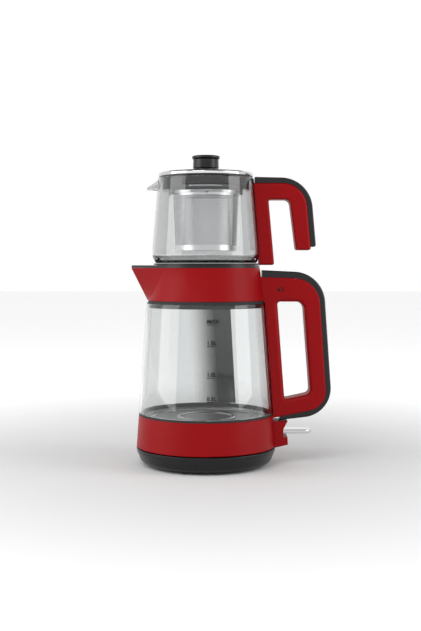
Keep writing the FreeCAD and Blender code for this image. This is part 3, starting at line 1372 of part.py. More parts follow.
def make_kettle_lid():
    """Ring lid that closes the kettle, lets steam up and carries the teapot."""
    seat, top = size.lid_seat, size.lid_top
    plug = size.lid_bore - size.loose_gap
    plug_low = seat - size.lid_plug_depth
    dish = top - size.lid_dish_drop
    dish_low = dish - size.lid_dish_thick
    steam_rim_top = top - size.steam_rim_drop
    body = turned("kettle_lid", [
        (size.lid_flange_radius, seat), (size.lid_flange_radius, top, size.lid_edge),
        (size.lid_seat_inner, top), (size.lid_seat_inner - size.lid_dish_slope, dish),
        (size.steam_radius + size.steam_rim, dish),
        (size.steam_radius + size.steam_rim * 0.6, steam_rim_top),
        (size.steam_radius, steam_rim_top), (size.steam_radius, dish_low),
        (size.lid_seat_inner, dish_low),
        (plug - size.lid_plug_wall, plug_low), (plug, plug_low, size.lid_edge),
        (plug, seat),
    ])
    hole = new_sketch(body, "SteamHoleSketch", "XY_Plane", dish_low - size.fit_gap)
    add_circle(hole, size.steam_hole_circle, 0, size.steam_hole_radius, "steam")
    cut = pad(body, hole, size.lid_dish_thick + size.cut_over, name="SteamHole",
              kind="PartDesign::Pocket", reverse=True)
    polar(body, cut, size.steam_hole_count, "SteamHoles")
    return body


# Teapot

def add_lip_loft(body, kind, name, inset, lift):
    """Loft from the glass to the lip's tip, inside its outline and lifted at the top."""
    root_place = size.pot_mouth_radius - size.pot_wall - size.lip_root_inside
    sections = []
    for part, place, half, drop, depth, rounding in (
            ("Root", root_place, size.lip_spread, size.lip_root_drop, size.lip_root_depth,
             size.lip_root_round),
            ("Tip", size.lip_reach, size.lip_tip_half, size.lip_tip_drop, size.lip_tip_depth,
             size.lip_tip_round)):
        top = size.pot_top - drop
        sketch = new_sketch(body, f"{name}{part}Sketch", "YZ_Plane", -place)
        add_outline(sketch, [
            (-(half - inset), top + lift), (0, top - depth + inset, rounding),
            (half - inset, top + lift),
        ])
        sections.append(sketch)
    loft = body.newObject(f"PartDesign::{kind}", name)
    loft.Profile = sections[0]
    loft.Sections = [sections[1]]
    loft.Ruled = True


def make_teapot_glass():
    """Glass pot with a rounded foot, a heel, a tapered side and a beaked pouring lip."""
    wall = size.pot_wall
    floor = size.pot_bottom + size.pot_floor
    body = turned("teapot_glass", [
        (0, size.pot_bottom), (size.pot_foot_radius, size.pot_bottom, size.pot_foot_round),
        (size.pot_radius, size.pot_heel_low, size.pot_heel_round),
        (size.pot_radius, size.pot_heel_high, size.pot_heel_round),
        (size.pot_mouth_radius, size.pot_top, size.glass_edge),
        (size.pot_mouth_radius - wall, size.pot_top),
        (size.pot_radius - wall, size.pot_heel_high, size.pot_heel_round),
        (size.pot_radius - wall, size.pot_heel_low + wall / 2, size.pot_heel_round),
        (size.pot_foot_radius - wall, floor, size.pot_foot_round / 2), (0, floor),
    ])
    add_lip_loft(body, "AdditiveLoft", "Lip", as_size(0), as_size(0))
    revolve(body, "Groove", [
        (0, size.pot_heel_high), (size.pot_radius - wall, size.pot_heel_high),
        (size.pot_mouth_radius - wall, size.pot_top), (0, size.pot_top),
    ], name="LipTrim")
    add_lip_loft(body, "SubtractiveLoft", "LipChannel", size.lip_wall,
                 size.lip_root_drop + size.fit_gap)
    return body


def make_teapot_handle():
    """Open hook handle with a long inner leg that follows the glass."""
    body = new_body("teapot_handle")
    sketch = new_sketch(body, "HookSketch", "XZ_Plane")
    add_outline(sketch, [
        (size.pot_handle_inner, size.pot_handle_low),
        (size.pot_leg_out_x, size.pot_handle_low, size.hook_end_round),
        (size.pot_gap_in_x, size.pot_gap_top, size.hook_end_round),
        (size.pot_gap_out_x, size.pot_gap_top, size.pot_gap_round),
        (size.hook_in_x, size.hook_low, size.hook_end_round),
        (size.hook_out_x, size.hook_low, size.hook_end_round),
        (size.hook_high_x, size.hook_high_z, size.hook_round),
        (size.pot_handle_inner, size.hook_high_z),
    ])
    block = pad(body, sketch, size.pot_handle_width, both_ways=True, name="Block")
    near, far = size.pot_gap_in_x.value - 1.0, size.hook_in_x.value
    low, high = size.hook_low.value + 4.0, size.pot_gap_top.value + 1.0

    def in_gap(point):
        return near < point.x < far and low < point.z < high

    round_edges(body, block, size.pot_gap_edge, side_edges(size.pot_handle_width, in_gap),
                "GapEdges")
    gap = size.pot_handle_gap
    below = size.pot_handle_low - size.cut_over
    revolve(body, "Groove", [
        (0, below), (size.pot_radius + gap, below),
        (size.pot_radius + gap, size.pot_heel_high),
        (size.pot_mouth_radius + gap, size.pot_top), (0, size.pot_top),
    ], name="GlassCut")
    return body


def make_teapot_strip():
    """Black strip along the outside of the hook."""
    body = new_body("teapot_handle_strip")
    sketch = new_sketch(body, "StripSketch", "XZ_Plane")
    gap = size.fit_gap
    lean = (size.hook_out_x - size.hook_high_x) / (size.hook_high_z - size.hook_low)
    hook_side = size.hook_out_x - lean * (size.pot_strip_low_z - size.hook_low)
    add_outline(sketch, [
        (size.pot_strip_start_x, size.hook_high_z + gap),
        (size.hook_high_x + gap, size.hook_high_z + gap, size.hook_round + gap),
        (hook_side + gap, size.pot_strip_low_z),
        (size.pot_strip_low_x, size.pot_strip_low_z, size.pot_strip_end_round),
        (size.pot_strip_high_x, size.pot_strip_high_z, size.pot_strip_round),
        (size.pot_strip_start_x, size.pot_strip_top),
    ])
    block = pad(body, sketch, size.pot_strip_width, both_ways=True, name="Strip")
    over, beside = size.hook_high_z.value + 3.0, size.hook_out_x.value + 0.5
    corner_x, corner_z = size.hook_high_x.value, size.hook_high_z.value - 14.0

    def on_outside(edge):
        middle = edge.CenterOfMass
        flat = edge.BoundBox.YLength < 1e-4
        at_corner = middle.x > corner_x and middle.z > corner_z
        return flat and edge.Length > 8.0 and (middle.z > over or middle.x > beside
                                               or at_corner)

    round_edges(body, block, size.pot_strip_edge, on_outside, "StripEdges")
    return body


# Strainer

def make_strainer_holder():
    """Smoky plastic ring that hangs in the mouth and cradles the steel rim."""
    seat = size.rim_bottom - size.fit_gap
    ring_in = size.holder_radius - size.holder_wall
    cradle_in = size.rim_radius + size.fit_gap
    cradle_out = size.holder_cradle_radius
    basket_clear = size.basket_radius + size.loose_gap
    shelf_low = size.holder_shelf - size.holder_wall
    body = turned("strainer_holder", [
        (size.holder_flange_radius, size.holder_low),
        (size.holder_flange_radius, size.holder_top, size.holder_edge),
        (ring_in, size.holder_top), (ring_in, size.holder_shelf),
        (cradle_in, size.holder_shelf), (cradle_in, seat),
        (basket_clear, seat), (basket_clear, size.holder_bottom),
        (cradle_out, size.holder_bottom, size.holder_edge),
        (cradle_out, shelf_low),
        (size.holder_radius, shelf_low, size.holder_edge),
        (size.holder_radius, size.holder_low),
    ])
    windows = new_sketch(body, "WindowSketch", "XZ_Plane")
    half = size.holder_window / 2
    low, high = size.holder_shelf + size.holder_edge, size.holder_top - size.window_frame
    add_outline(windows, [(-half, low), (half, low), (half, high), (-half, high)])
    wide = size.cradle_window / 2
    low, high = size.holder_bottom - size.cut_over, shelf_low - size.holder_edge
    add_outline(windows, [(-wide, low), (wide, low), (wide, high), (-wide, high)],
                prefix="low")
    pad(body, windows, (size.holder_radius + size.cut_over) * 2, both_ways=True,
        name="Windows", kind="PartDesign::Pocket")
    return body


def make_strainer_rim():
    """Polished steel band with an inner flange and pairs of small tabs."""
    wall = size.rim_wall
    inside = size.rim_radius - wall
    flange = size.basket_radius - size.rim_flange
    body = turned("strainer_rim", [
        (size.rim_radius, size.rim_bottom), (size.rim_radius, size.rim_top),
        (inside, size.rim_top), (inside, size.rim_bottom + wall),
        (flange, size.rim_bottom + wall), (flange, size.rim_bottom),
    ])
    tabs = new_sketch(body, "TabSketch", "XY_Plane", size.rim_top)
    far, near, half = size.rim_radius - wall / 4, inside + wall / 4, size.tab_width / 2
    for front in (-90.0, 90.0):
        for side in (-1.0, 1.0):
            for turn in (size.tab_near, size.tab_far):
                facing = front + side * turn
                across, down = cosine(facing), sine(facing)
                add_outline(tabs, [
                    (out * across - shift * down, out * down + shift * across)
                    for out, shift in ((near, -half), (far, -half), (far, half),
                                       (near, half))
                ], prefix=f"t{int(facing.value) + 400}_")
    pad(body, tabs, size.tab_rise, name="Tabs")
    return body


def make_strainer_basket():
    """Tapered steel basket with a diamond mesh of openings."""
    wall = size.basket_wall
    body = turned("strainer_basket", [
        (size.basket_low_radius - wall, size.basket_bottom),
        (size.basket_low_radius, size.basket_bottom), (size.basket_radius, size.basket_top),
        (size.basket_radius - wall, size.basket_top),
    ])
    column = new_sketch(body, "MeshSketch", "YZ_Plane", size.basket_low_radius * 0.8)
    low, high = size.cap_top + size.mesh_margin, size.basket_top - size.mesh_margin
    rows = int(size.mesh_rows.value)
    step = (high - low) / rows
    half = size.mesh_side / 2
    for i in range(rows):
        middle = low + step * (i + 0.5)
        add_outline(column, [
            (0, middle - half * size.mesh_slant), (half, middle),
            (0, middle + half * size.mesh_slant), (-half, middle),
        ], prefix=f"m{i}_")
    cut = pad(body, column, size.basket_radius, name="MeshColumn", kind="PartDesign::Pocket",
              reverse=True)
    polar(body, cut, size.mesh_columns, "Mesh")
    return body


def make_basket_seam():
    """Plain lap strip where the basket's sheet is joined."""
    top = size.basket_top - size.seam_margin
    low = size.cap_top + size.seam_margin

    def outside(height):
        return size.fit_gap + cone_radius(size.basket_low_radius, size.basket_bottom,
                                          size.basket_radius, size.basket_top, height)

    body = turned("basket_seam", [
        (outside(low), low), (outside(low) + size.seam_thick, low),
        (outside(top) + size.seam_thick, top), (outside(top), top),
    ], angle=size.seam_angle)
    body.Placement.Rotation = Rotation(Vector(0, 0, 1), 1)
    bind(body, ".Placement.Rotation.Angle", -size.seam_angle)
    return body


def make_basket_cap():
    """Bottom of the basket: a shallow dish with drain holes, rolled round the wall."""
    gap = size.fit_gap
    floor = size.basket_bottom - gap
    low = floor - size.cap_thick
    inner = size.basket_low_radius + gap * 2 + size.seam_thick / 2
    outer = inner + size.cap_wall
    body = turned("basket_cap", [
        (0, low), (outer, low), (outer, size.cap_top), (inner, size.cap_top),
        (inner, floor), (0, floor),
    ])
    hole = new_sketch(body, "DrainSketch", "XY_Plane", low)
    add_circle(hole, size.basket_low_radius * 0.4, 0, size.drain_radius, "near")
    add_circle(hole, size.basket_low_radius * 0.75, 0, size.drain_radius, "far")
    cut = pad(body, hole, size.cap_thick * 2, name="Drain", kind="PartDesign::Pocket",
              reverse=True)
    polar(body, cut, size.drain_count, "Drains")
    return body


# Teapot lid

def make_lid_skirt():
    """Dark ring that centres the lid in the holder."""
    top = size.lid_rim_bottom + size.lid_rim_foot - size.fit_gap
    outer = size.skirt_radius
    inner = outer - size.skirt_wall
    lean = size.skirt_wall / 4
    return turned("lid_skirt", [
        (inner, size.skirt_bottom), (outer - lean, size.skirt_bottom, lean), (outer, top),
        (inner + lean, top),
    ])


def make_lid_rim():
    """Polished steel ring with a ledge for the cover."""
    low, top = size.lid_rim_bottom, size.lid_rim_bottom + size.lid_rim_thick
    foot = low + size.lid_rim_foot
    outer, edge = size.lid_rim_radius, size.lid_rim_edge
    inner = size.cover_radius + size.fit_gap
    ledge = inner - size.lid_ledge_width
    inset = outer - size.lid_ledge_width
    return turned("lid_rim", [
        (inset, low), (outer - edge / 3, low, edge / 3),
        (outer, top - edge, edge), (outer - edge, top, edge / 2),
        (inner, top), (inner, size.lid_ledge), (ledge, size.lid_ledge),
        (ledge, foot), (inset, foot),
    ])


def make_lid_cover():
    """Low dome of black plastic inside the steel rim."""
    low = size.cover_low
    return turned("lid_cover", [
        (size.screw_bore, size.cover_inside), (size.knob_radius, size.cover_inside),
        (size.cover_radius - size.cover_thick, low), (size.cover_radius, low),
        (size.cover_radius, low + size.cover_thick, size.glass_edge),
        (size.knob_radius + size.knob_lip, size.cover_middle),
        (size.screw_bore, size.cover_middle),
    ])


def make_knob():
    """Black knob with a neck and a lipped, slightly hollow top."""
    low, top = size.knob_low, size.knob_top
    lip = top - size.knob_lip_height
    neck_top = low + size.knob_neck
    hollow = top - size.knob_hollow
    hollow_edge = size.knob_lip_radius - size.knob_rim
    edge = size.knob_edge
    return turned("knob", [
        (size.screw_bore, low), (size.knob_neck_radius, low),
        (size.knob_neck_radius, neck_top),
        (size.knob_radius, neck_top, edge),
        (size.knob_radius - edge / 3, lip - edge),
        (size.knob_lip_radius, lip + edge, edge / 2),
        (size.knob_lip_radius, top - edge, edge / 2),
        (size.knob_lip_radius - edge, top, edge / 2),
        (hollow_edge, top), (hollow_edge - size.knob_hollow, hollow),
        (0, hollow), (0, low + size.knob_bore), (size.screw_bore, low + size.knob_bore),
    ])


def make_knob_screw():
    head_bottom = size.cover_inside - size.fit_gap - size.screw_head_thick
    length = size.knob_low + size.knob_bore - size.fit_gap - head_bottom
    return upright_screws("knob_screw", [(as_size(0), as_size(0))], head_bottom, length)


# Build

PARTS = [
    make_base_shell(),
    make_base_bottom(),
    make_base_feet(),
    make_base_post(),
    make_base_contacts(),
    make_cord_grommet(),
    upright_screws("base_screws", base_screw_places(), size.foot_rise + size.fit_gap,
                   size.screw_length),
    make_lower_band(),
    make_kettle_bottom(),
    upright_screws("cover_screws", cover_screw_places(), size.band_bottom + size.fit_gap,
                   size.screw_length),
    make_kettle_connector(),
    make_connector_pins(),
    make_heating_plate(),
    make_heat_spreader(),
    make_heating_element(),
    make_control_unit(),
    make_lower_gasket(),
    make_kettle_glass(),
    make_upper_gasket(),
    make_collar(),
    make_collar_trim(),
    make_spout_filter(),
    make_kettle_handle(),
    make_handle_strip(),
    make_handle_screws(),
    make_switch_housing(),
    make_lever_pin(),
    make_switch_lever(),
    make_kettle_lid(),
    make_teapot_glass(),
    make_teapot_handle(),
    make_teapot_strip(),
    make_strainer_holder(),
    make_strainer_rim(),
    make_strainer_basket(),
    make_basket_seam(),
    make_basket_cap(),
    make_lid_skirt(),
    make_lid_rim(),
    make_lid_cover(),
    make_knob(),
    make_knob_screw(),
]

doc.recompute()
faults = [f"{item.Label}: {item.State}" for item in doc.Objects
          if "Invalid" in item.State or "Error" in item.State]
faults += [f"{part.Label}: bad shape" for part in PARTS
           if part.Shape.isNull() or not part.Shape.isValid()]
if faults:
    raise RuntimeError("; ".join(faults))

os.makedirs("parts", exist_ok=True)
for part in PARTS:
    part.Shape.exportStep(f"parts/{part.Label}.step")
    print(part.Label, len(part.Shape.Solids), round(part.Shape.Volume, 1))
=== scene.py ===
import math

import bmesh
import bpy
from mathutils import Matrix, Vector


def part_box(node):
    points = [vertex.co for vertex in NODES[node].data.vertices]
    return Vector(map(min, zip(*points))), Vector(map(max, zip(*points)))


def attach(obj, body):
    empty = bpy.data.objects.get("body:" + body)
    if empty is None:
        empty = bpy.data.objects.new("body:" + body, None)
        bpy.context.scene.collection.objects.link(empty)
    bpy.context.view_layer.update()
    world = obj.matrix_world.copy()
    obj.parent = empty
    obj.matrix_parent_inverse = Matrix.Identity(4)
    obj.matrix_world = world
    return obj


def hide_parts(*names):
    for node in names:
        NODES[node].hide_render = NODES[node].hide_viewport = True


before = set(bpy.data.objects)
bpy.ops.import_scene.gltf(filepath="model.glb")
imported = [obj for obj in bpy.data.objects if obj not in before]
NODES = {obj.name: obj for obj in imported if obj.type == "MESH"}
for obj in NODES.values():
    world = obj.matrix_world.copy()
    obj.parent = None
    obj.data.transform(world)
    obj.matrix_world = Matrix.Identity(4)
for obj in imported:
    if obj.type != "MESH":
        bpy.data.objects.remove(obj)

bl_info = {
    "name": "Tea Maker Looks",
    "version": (1, 0, 0),
    "blender": (4, 5, 0),
    "location": "View3D > Sidebar > Tea Maker",
    "description": "Finishes, marks, strainer mesh and studio for the tea maker",
    "category": "Object",
}

MM = 0.001
PRINT_LIFT = 0.04 * MM  # flat prints stand this far off what they are printed on
HOLE_LIFT = 0.05 * MM  # and the dark disc of painted shade for the strainer rim's hole
HOLE_SIDE = 1.2 * MM  # that disc, to the right of the middle
PLAIN_FOOT = 5.0 * MM  # plain sheet under the basket's mesh
PLAIN_TOP = 2.5 * MM  # and above it

FINISH_OF_NODES = {
    "red": ["lower_band", "collar", "kettle_handle", "switch_housing", "teapot_handle"],
    "black": ["base_shell", "base_bottom", "base_connector", "kettle_bottom",
              "kettle_connector", "control_unit", "kettle_lid", "collar_trim",
              "handle_strip", "teapot_handle_strip", "lid_skirt", "lid_cover", "knob"],
    "rubber": ["base_feet", "cord_grommet", "lower_gasket", "upper_gasket"],
    "glass": ["kettle_glass", "teapot_glass"],
    "smoke": ["strainer_holder"],
    "bright_steel": ["strainer_rim", "lid_rim", "switch_lever"],
    # the basket seam's steel is painted near-black as a painted dark reflection
    "seam_painted_reflection_steel": ["basket_seam"],
    "ringed_steel": ["heating_plate"],
    "satin_steel": ["heating_element", "strainer_basket", "basket_cap", "spout_filter",
                    "base_screws", "cover_screws", "handle_screws", "lever_pin",
                    "knob_screw"],
    "brass": ["base_contacts", "connector_pins"],
    "aluminium": ["heat_spreader"],
}


# Node values that work in arithmetic


class Value:
    """One output socket; it adds, multiplies and mixes as a number does."""

    def __init__(self, finish, socket):
        self.finish = finish
        self.socket = socket

    def _math(self, operation, *operands):
        return self.finish.node("ShaderNodeMath", dict(enumerate(operands)),
                                operation=operation)

    def __add__(self, other):
        return self._math("ADD", self, other)

    def __radd__(self, other):
        return self._math("ADD", other, self)

    def __sub__(self, other):
        return self._math("SUBTRACT", self, other)

    def __rsub__(self, other):
        return self._math("SUBTRACT", other, self)

    def __mul__(self, other):
        return self._math("MULTIPLY", self, other)

    def __rmul__(self, other):
        return self._math("MULTIPLY", other, self)

    def __truediv__(self, other):
        return self._math("DIVIDE", self, other)

    def smooth_between(self, low, high):
        """0 below low, 1 above high, smooth between."""
        return self.finish.node(
            "ShaderNodeMapRange", {"Value": self, "From Min": low, "From Max": high},
            interpolation_type="SMOOTHSTEP")

    def mix(self, first, second):
        """first where this is 0, second where it is 1, as colours."""
        return self.finish.node(
            "ShaderNodeMix", {0: self, 6: first, 7: second}, output=2, data_type="RGBA")


class Finish:
    """A material built from nodes, with its one surface shader."""

    def __init__(self, name):
        self.material = bpy.data.materials.new(name)
        self.material.use_nodes = True
        self.tree = self.material.node_tree
        self.shader = self.tree.nodes["Principled BSDF"]

    def node(self, kind, inputs=(), output=0, **settings):
        made = self.tree.nodes.new(kind)
        for name, value in settings.items():
            setattr(made, name, value)
        for key, value in dict(inputs).items():
            self.feed(made.inputs[key], value)
        return Value(self, made.outputs[output])

    def feed(self, socket, value):
        if isinstance(value, Value):
            self.tree.links.new(value.socket, socket)
        else:
            socket.default_value = value

    def place(self):
        """The point on the piece, in metres in the part's own frame."""
        return self.node("ShaderNodeTexCoord", output="Object")

    def stretched(self, scale):
        return self.node("ShaderNodeMapping", {"Vector": self.place(), "Scale": scale})

    def noise(self, scale, detail=3.0, stretch=(1.0, 1.0, 1.0)):
        return self.node("ShaderNodeTexNoise", {"Vector": self.stretched(stretch),
                                                "Scale": scale, "Detail": detail})

    def height(self):
        return self.node("ShaderNodeSeparateXYZ", {"Vector": self.place()}, output="Z")

    def surface(self, bump=None, bump_strength=0.1, bump_depth=0.0002, **inputs):
        for name, value in inputs.items():
            self.feed(self.shader.inputs[name.replace("_", " ")], value)
        if bump is not None:
            normal = self.node("ShaderNodeBump", {"Height": bump, "Strength": bump_strength,
                                                  "Distance": bump_depth}, output="Normal")
            self.feed(self.shader.inputs["Normal"], normal)
        return self.material


def shade(colour, factor):
    return (*(channel * factor for channel in colour[:3]), 1.0)


# Settings


class TeaMakerFinishSettings(bpy.types.PropertyGroup):
    red: bpy.props.FloatVectorProperty(
        name="Red", description="Colour of the red plastic", subtype="COLOR", size=3,
        default=(0.29, 0.001, 0.003))
    red_roughness: bpy.props.FloatProperty(
        name="Red roughness", description="How satin the red plastic is", default=0.42)
    black: bpy.props.FloatVectorProperty(
        name="Black", description="Colour of the black plastic", subtype="COLOR", size=3,
        default=(0.006, 0.006, 0.007))
    black_roughness: bpy.props.FloatProperty(
        name="Black roughness", description="How satin the black plastic is", default=0.30)
    glass_tint: bpy.props.FloatVectorProperty(
        name="Glass tint", description="Colour that the glass lets through",
        subtype="COLOR", size=3, default=(0.67, 0.68, 0.68))
    smoke: bpy.props.FloatVectorProperty(
        name="Smoke", description="Colour of the strainer holder", subtype="COLOR", size=3,
        default=(0.13, 0.13, 0.135))
    steel: bpy.props.FloatVectorProperty(
        name="Steel", description="Colour of the steel", subtype="COLOR", size=3,
        default=(0.72, 0.72, 0.73))


class TeaMakerMarkSettings(bpy.types.PropertyGroup):
    text_height: bpy.props.FloatProperty(
        name="Text height", description="Height of the level marks' figures",
        default=0.0042, unit="LENGTH")
    line_width: bpy.props.FloatProperty(
        name="Line width", description="Height of the line under each level mark",
        default=0.0009, unit="LENGTH")
    left: bpy.props.FloatProperty(
        name="Left end", description="Left end of the level marks", default=0.0012,
        unit="LENGTH")
    length: bpy.props.FloatProperty(
        name="Line length", description="Length of the line under each level mark",
        default=0.0086, unit="LENGTH")


class TeaMakerSignSettings(bpy.types.PropertyGroup):
    sign_left: bpy.props.FloatProperty(
        name="Left end", description="Middle of the water sign on the handle",
        default=0.0818, unit="LENGTH")
    sign_foot: bpy.props.FloatProperty(
        name="Foot", description="Height of the signs' lower end", default=0.1975,
        unit="LENGTH")
    sign_height: bpy.props.FloatProperty(
        name="Height", description="Height of the signs", default=0.0052, unit="LENGTH")
    hole_height: bpy.props.FloatProperty(
        name="Hole height", description="Height of the strainer rim's front hole",
        default=0.3070, unit="LENGTH")
    hole_radius: bpy.props.FloatProperty(
        name="Rim hole", description="Radius of the strainer rim's front hole",
        default=0.0011, unit="LENGTH")


class TeaMakerMeshSettings(bpy.types.PropertyGroup):
    columns: bpy.props.IntProperty(
        name="Columns", description="Mesh openings round the basket", default=96)
    bar: bpy.props.FloatProperty(
        name="Bar", description="Metal between two openings", default=0.00095,
        unit="LENGTH")
    thickness: bpy.props.FloatProperty(
        name="Thickness", description="Thickness of the basket's sheet", default=0.0004,
        unit="LENGTH")


class TeaMakerStudioSettings(bpy.types.PropertyGroup):
    camera_distance: bpy.props.FloatProperty(
        name="Distance", description="Camera from the vessels' axis", default=1.176,
        unit="LENGTH")
    camera_height: bpy.props.FloatProperty(
        name="Height", description="Camera above the floor", default=0.226, unit="LENGTH")
    camera_side: bpy.props.FloatProperty(
        name="Side", description="Camera to the right of the axis", default=0.0052,
        unit="LENGTH")
    tilt: bpy.props.FloatProperty(
        name="Tilt", description="Camera's angle below level", default=math.radians(2.74),
        subtype="ANGLE")
    lens: bpy.props.FloatProperty(
        name="Lens", description="Focal length on a 36 mm long side", default=59.0)
    ambient: bpy.props.FloatProperty(
        name="Ambient", description="Light from the surroundings", default=0.45)


# Finishes


def red_plastic(settings):
    finish = Finish("red_plastic")
    grain = finish.noise(900.0)
    cloud = finish.noise(14.0)
    colour = cloud.mix(shade(settings.red, 0.94), shade(settings.red, 1.06))
    return finish.surface(bump=grain, bump_strength=0.05, Base_Color=colour,
                          Specular_IOR_Level=0.14,
                          Roughness=settings.red_roughness + 0.06 * (cloud - 0.5))


def black_plastic(settings):
    finish = Finish("black_plastic")
    grain = finish.noise(1100.0)
    cloud = finish.noise(20.0)
    return finish.surface(bump=grain, bump_strength=0.04, Specular_IOR_Level=0.35,
                          Base_Color=shade(settings.black, 1.0),
                          Roughness=settings.black_roughness + 0.08 * (cloud - 0.5))


def black_rubber(settings):
    finish = Finish("black_rubber")
    grain = finish.noise(1500.0)
    return finish.surface(bump=grain, bump_strength=0.15,
                          Base_Color=shade(settings.black, 1.3),
                          Roughness=0.55 + 0.15 * grain)


def clear_glass(settings):
    finish = Finish("clear_glass")
    wave = finish.noise(6.0, detail=1.0, stretch=(1.0, 1.0, 0.4))
    return finish.surface(bump=wave, bump_strength=0.05, bump_depth=0.0005,
                          Base_Color=shade(settings.glass_tint, 1.0), Roughness=0.0,
                          IOR=1.46, Transmission_Weight=1.0)


def smoke_plastic(settings):
    finish = Finish("smoke_plastic")
    cloud = finish.noise(30.0)
    return finish.surface(Base_Color=shade(settings.smoke, 1.0), IOR=1.45,
                          Transmission_Weight=0.85, Roughness=0.12 + 0.06 * cloud)


def bright_steel(settings):
    finish = Finish("bright_steel")
    cloud = finish.noise(60.0)
    return finish.surface(Base_Color=shade(settings.steel, 0.88), Metallic=1.0,
                          Roughness=0.08 + 0.06 * cloud)


def satin_steel(settings):
    finish = Finish("satin_steel")
    lines = finish.noise(120.0, stretch=(1.0, 1.0, 30.0))
    return finish.surface(bump=lines, bump_strength=0.06,
                          Base_Color=shade(settings.steel, 1.34),
                          Metallic=1.0, Roughness=0.24 + 0.12 * lines)


def ringed_steel(settings):
    """Brushed plate with painted light: darker on its flat as painted shade and lighter on
    its pressed rings as painted highlight; the rings are also less rough.
    """
    finish = Finish("ringed_steel")
    place = finish.place()
    flat = finish.node("ShaderNodeVectorMath", {0: place, 1: (1.0, 1.0, 0.0)},
                       operation="MULTIPLY")
    radius = finish.node("ShaderNodeVectorMath", {0: flat}, output="Value",
                         operation="LENGTH")
    turning = finish.node("ShaderNodeTexNoise", {"W": radius, "Scale": 900.0},
                          noise_dimensions="1D")
    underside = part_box("heating_plate")[0].z
    ring_highlight_mask = finish.height().smooth_between(underside + 1.1 * MM, underside + 1.8 * MM)
    # painted highlight on the pressed rings, painted shade on the flat: one steel in a lit
    # and a shaded copy
    colour = ring_highlight_mask.mix(shade(settings.steel, 0.42), shade(settings.steel, 1.15))
    return finish.surface(bump=turning, bump_strength=0.08, Base_Color=colour, Metallic=1.0,
                          Roughness=0.26 - 0.12 * ring_highlight_mask + 0.1 * turning)


def plain_metal(name, colour):
    finish = Finish(name)
    cloud = finish.noise(80.0)
    return finish.surface(Base_Color=(*colour, 1.0), Metallic=1.0,
                          Roughness=0.28 + 0.12 * cloud)


def printed(name, colour):
    finish = Finish(name)
    cloud = finish.noise(400.0)
    return finish.surface(Base_Color=(*colour, 1.0), Specular_IOR_Level=0.15,
                          Roughness=0.45 + 0.1 * cloud)


FINISHES = {}


def finish_named(name):
    """The finished material of that name, made once."""
    if name not in FINISHES:
        settings = bpy.context.scene.tea_maker_finish
        makers = {
            "red": lambda: red_plastic(settings),
            "black": lambda: black_plastic(settings),
            "rubber": lambda: black_rubber(settings),
            "glass": lambda: clear_glass(settings),
            "smoke": lambda: smoke_plastic(settings),
            "bright_steel": lambda: bright_steel(settings),
            "satin_steel": lambda: satin_steel(settings),
            "ringed_steel": lambda: ringed_steel(settings),
            "brass": lambda: plain_metal("brass", (0.75, 0.52, 0.20)),
            "aluminium": lambda: plain_metal("aluminium", (0.75, 0.75, 0.77)),
            # near-black steel: a painted dark reflection on the basket seam
            "seam_painted_reflection_steel": lambda: plain_metal("seam_painted_reflection_steel", (0.07, 0.07, 0.072)),
            # dark print for the marks, also the painted shade of the rim hole's disc
            "dark_print_and_hole_shade": lambda: printed("dark_print_and_hole_shade", (0.006, 0.006, 0.006)),
        }
        FINISHES[name] = makers[name]()
    return FINISHES[name]


# Pieces


def new_piece(name, build, finish, body):
    """A mesh piece in the part's frame, made by build(bm)."""
    mesh = bpy.data.meshes.new(name)
    bm = bmesh.new()
    build(bm)
    bmesh.ops.recalc_face_normals(bm, faces=bm.faces)
    for face in bm.faces:
        face.smooth = False  # lettering made from text arrives smooth
    bm.to_mesh(mesh)
    bm.free()
    mesh.materials.append(finish_named(finish))
    piece = bpy.data.objects.new(name, mesh)
    bpy.context.scene.collection.objects.link(piece)
    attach(piece, body)
    return piece


def cone_of(node):
    """Radius at a height for a node whose outside is a straight cone, from its end rings."""
    corners = [vertex.co for vertex in NODES[node].data.vertices]
    low = min(corner.z for corner in corners)
    high = max(corner.z for corner in corners)
    margin = 1.2 * MM

    def ring(height):
        return max(corner.xy.length for corner in corners if abs(corner.z - height) < margin)

    low_radius, high_radius = ring(low), ring(high)
    return lambda z: low_radius + (high_radius - low_radius) * (z - low) / (high - low)


def wrap_front(bm, radius_at, lift):
    """Bend a flat drawing in the XZ plane round the front of a cone."""
    for vertex in bm.verts:
        radius = radius_at(vertex.co.z) + lift
        angle = vertex.co.x / radius
        vertex.co = Vector((radius * math.sin(angle), -radius * math.cos(angle),
                            vertex.co.z))


def add_text(bm, words, height, x, z):
    """Flat lettering in the XZ plane with its lower left corner at x, z."""
    curve = bpy.data.curves.new("lettering", "FONT")
    curve.body = words
    curve.size = height / 0.7
    curve.offset = height * 0.05
    curve.resolution_u = 2
    holder = bpy.data.objects.new("lettering", curve)
    bpy.context.scene.collection.objects.link(holder)
    bpy.context.view_layer.update()
    mesh = bpy.data.meshes.new_from_object(holder)
    mesh.transform(Matrix.Translation((x, 0, z)) @ Matrix.Rotation(math.pi / 2, 4, "X"))
    bm.from_mesh(mesh)
    bpy.data.objects.remove(holder)
    bpy.data.meshes.remove(mesh)


def add_box(bm, low, high):
    made = bmesh.ops.create_cube(bm, size=1.0)
    middle = (Vector(low) + Vector(high)) / 2
    size = Vector(high) - Vector(low)
    bmesh.ops.scale(bm, vec=size, verts=made["verts"])
    bmesh.ops.translate(bm, vec=middle, verts=made["verts"])


# What each level mark says and how high its line stands, as read from the photo
LEVELS = [("MAX", 0.1623), ("1.5L", 0.1393), ("1.0L", 0.1055), ("0.5L", 0.0796)]


class TEAMAKER_OT_finishes(bpy.types.Operator):
    """Give every solid its finish"""

    bl_idname = "teamaker.finishes"
    bl_label = "Finishes"

    def execute(self, context):
        for name, nodes in FINISH_OF_NODES.items():
            for node in nodes:
                piece = NODES[node]
                piece.data.materials.clear()
                piece.data.materials.append(finish_named(name))
        return {"FINISHED"}


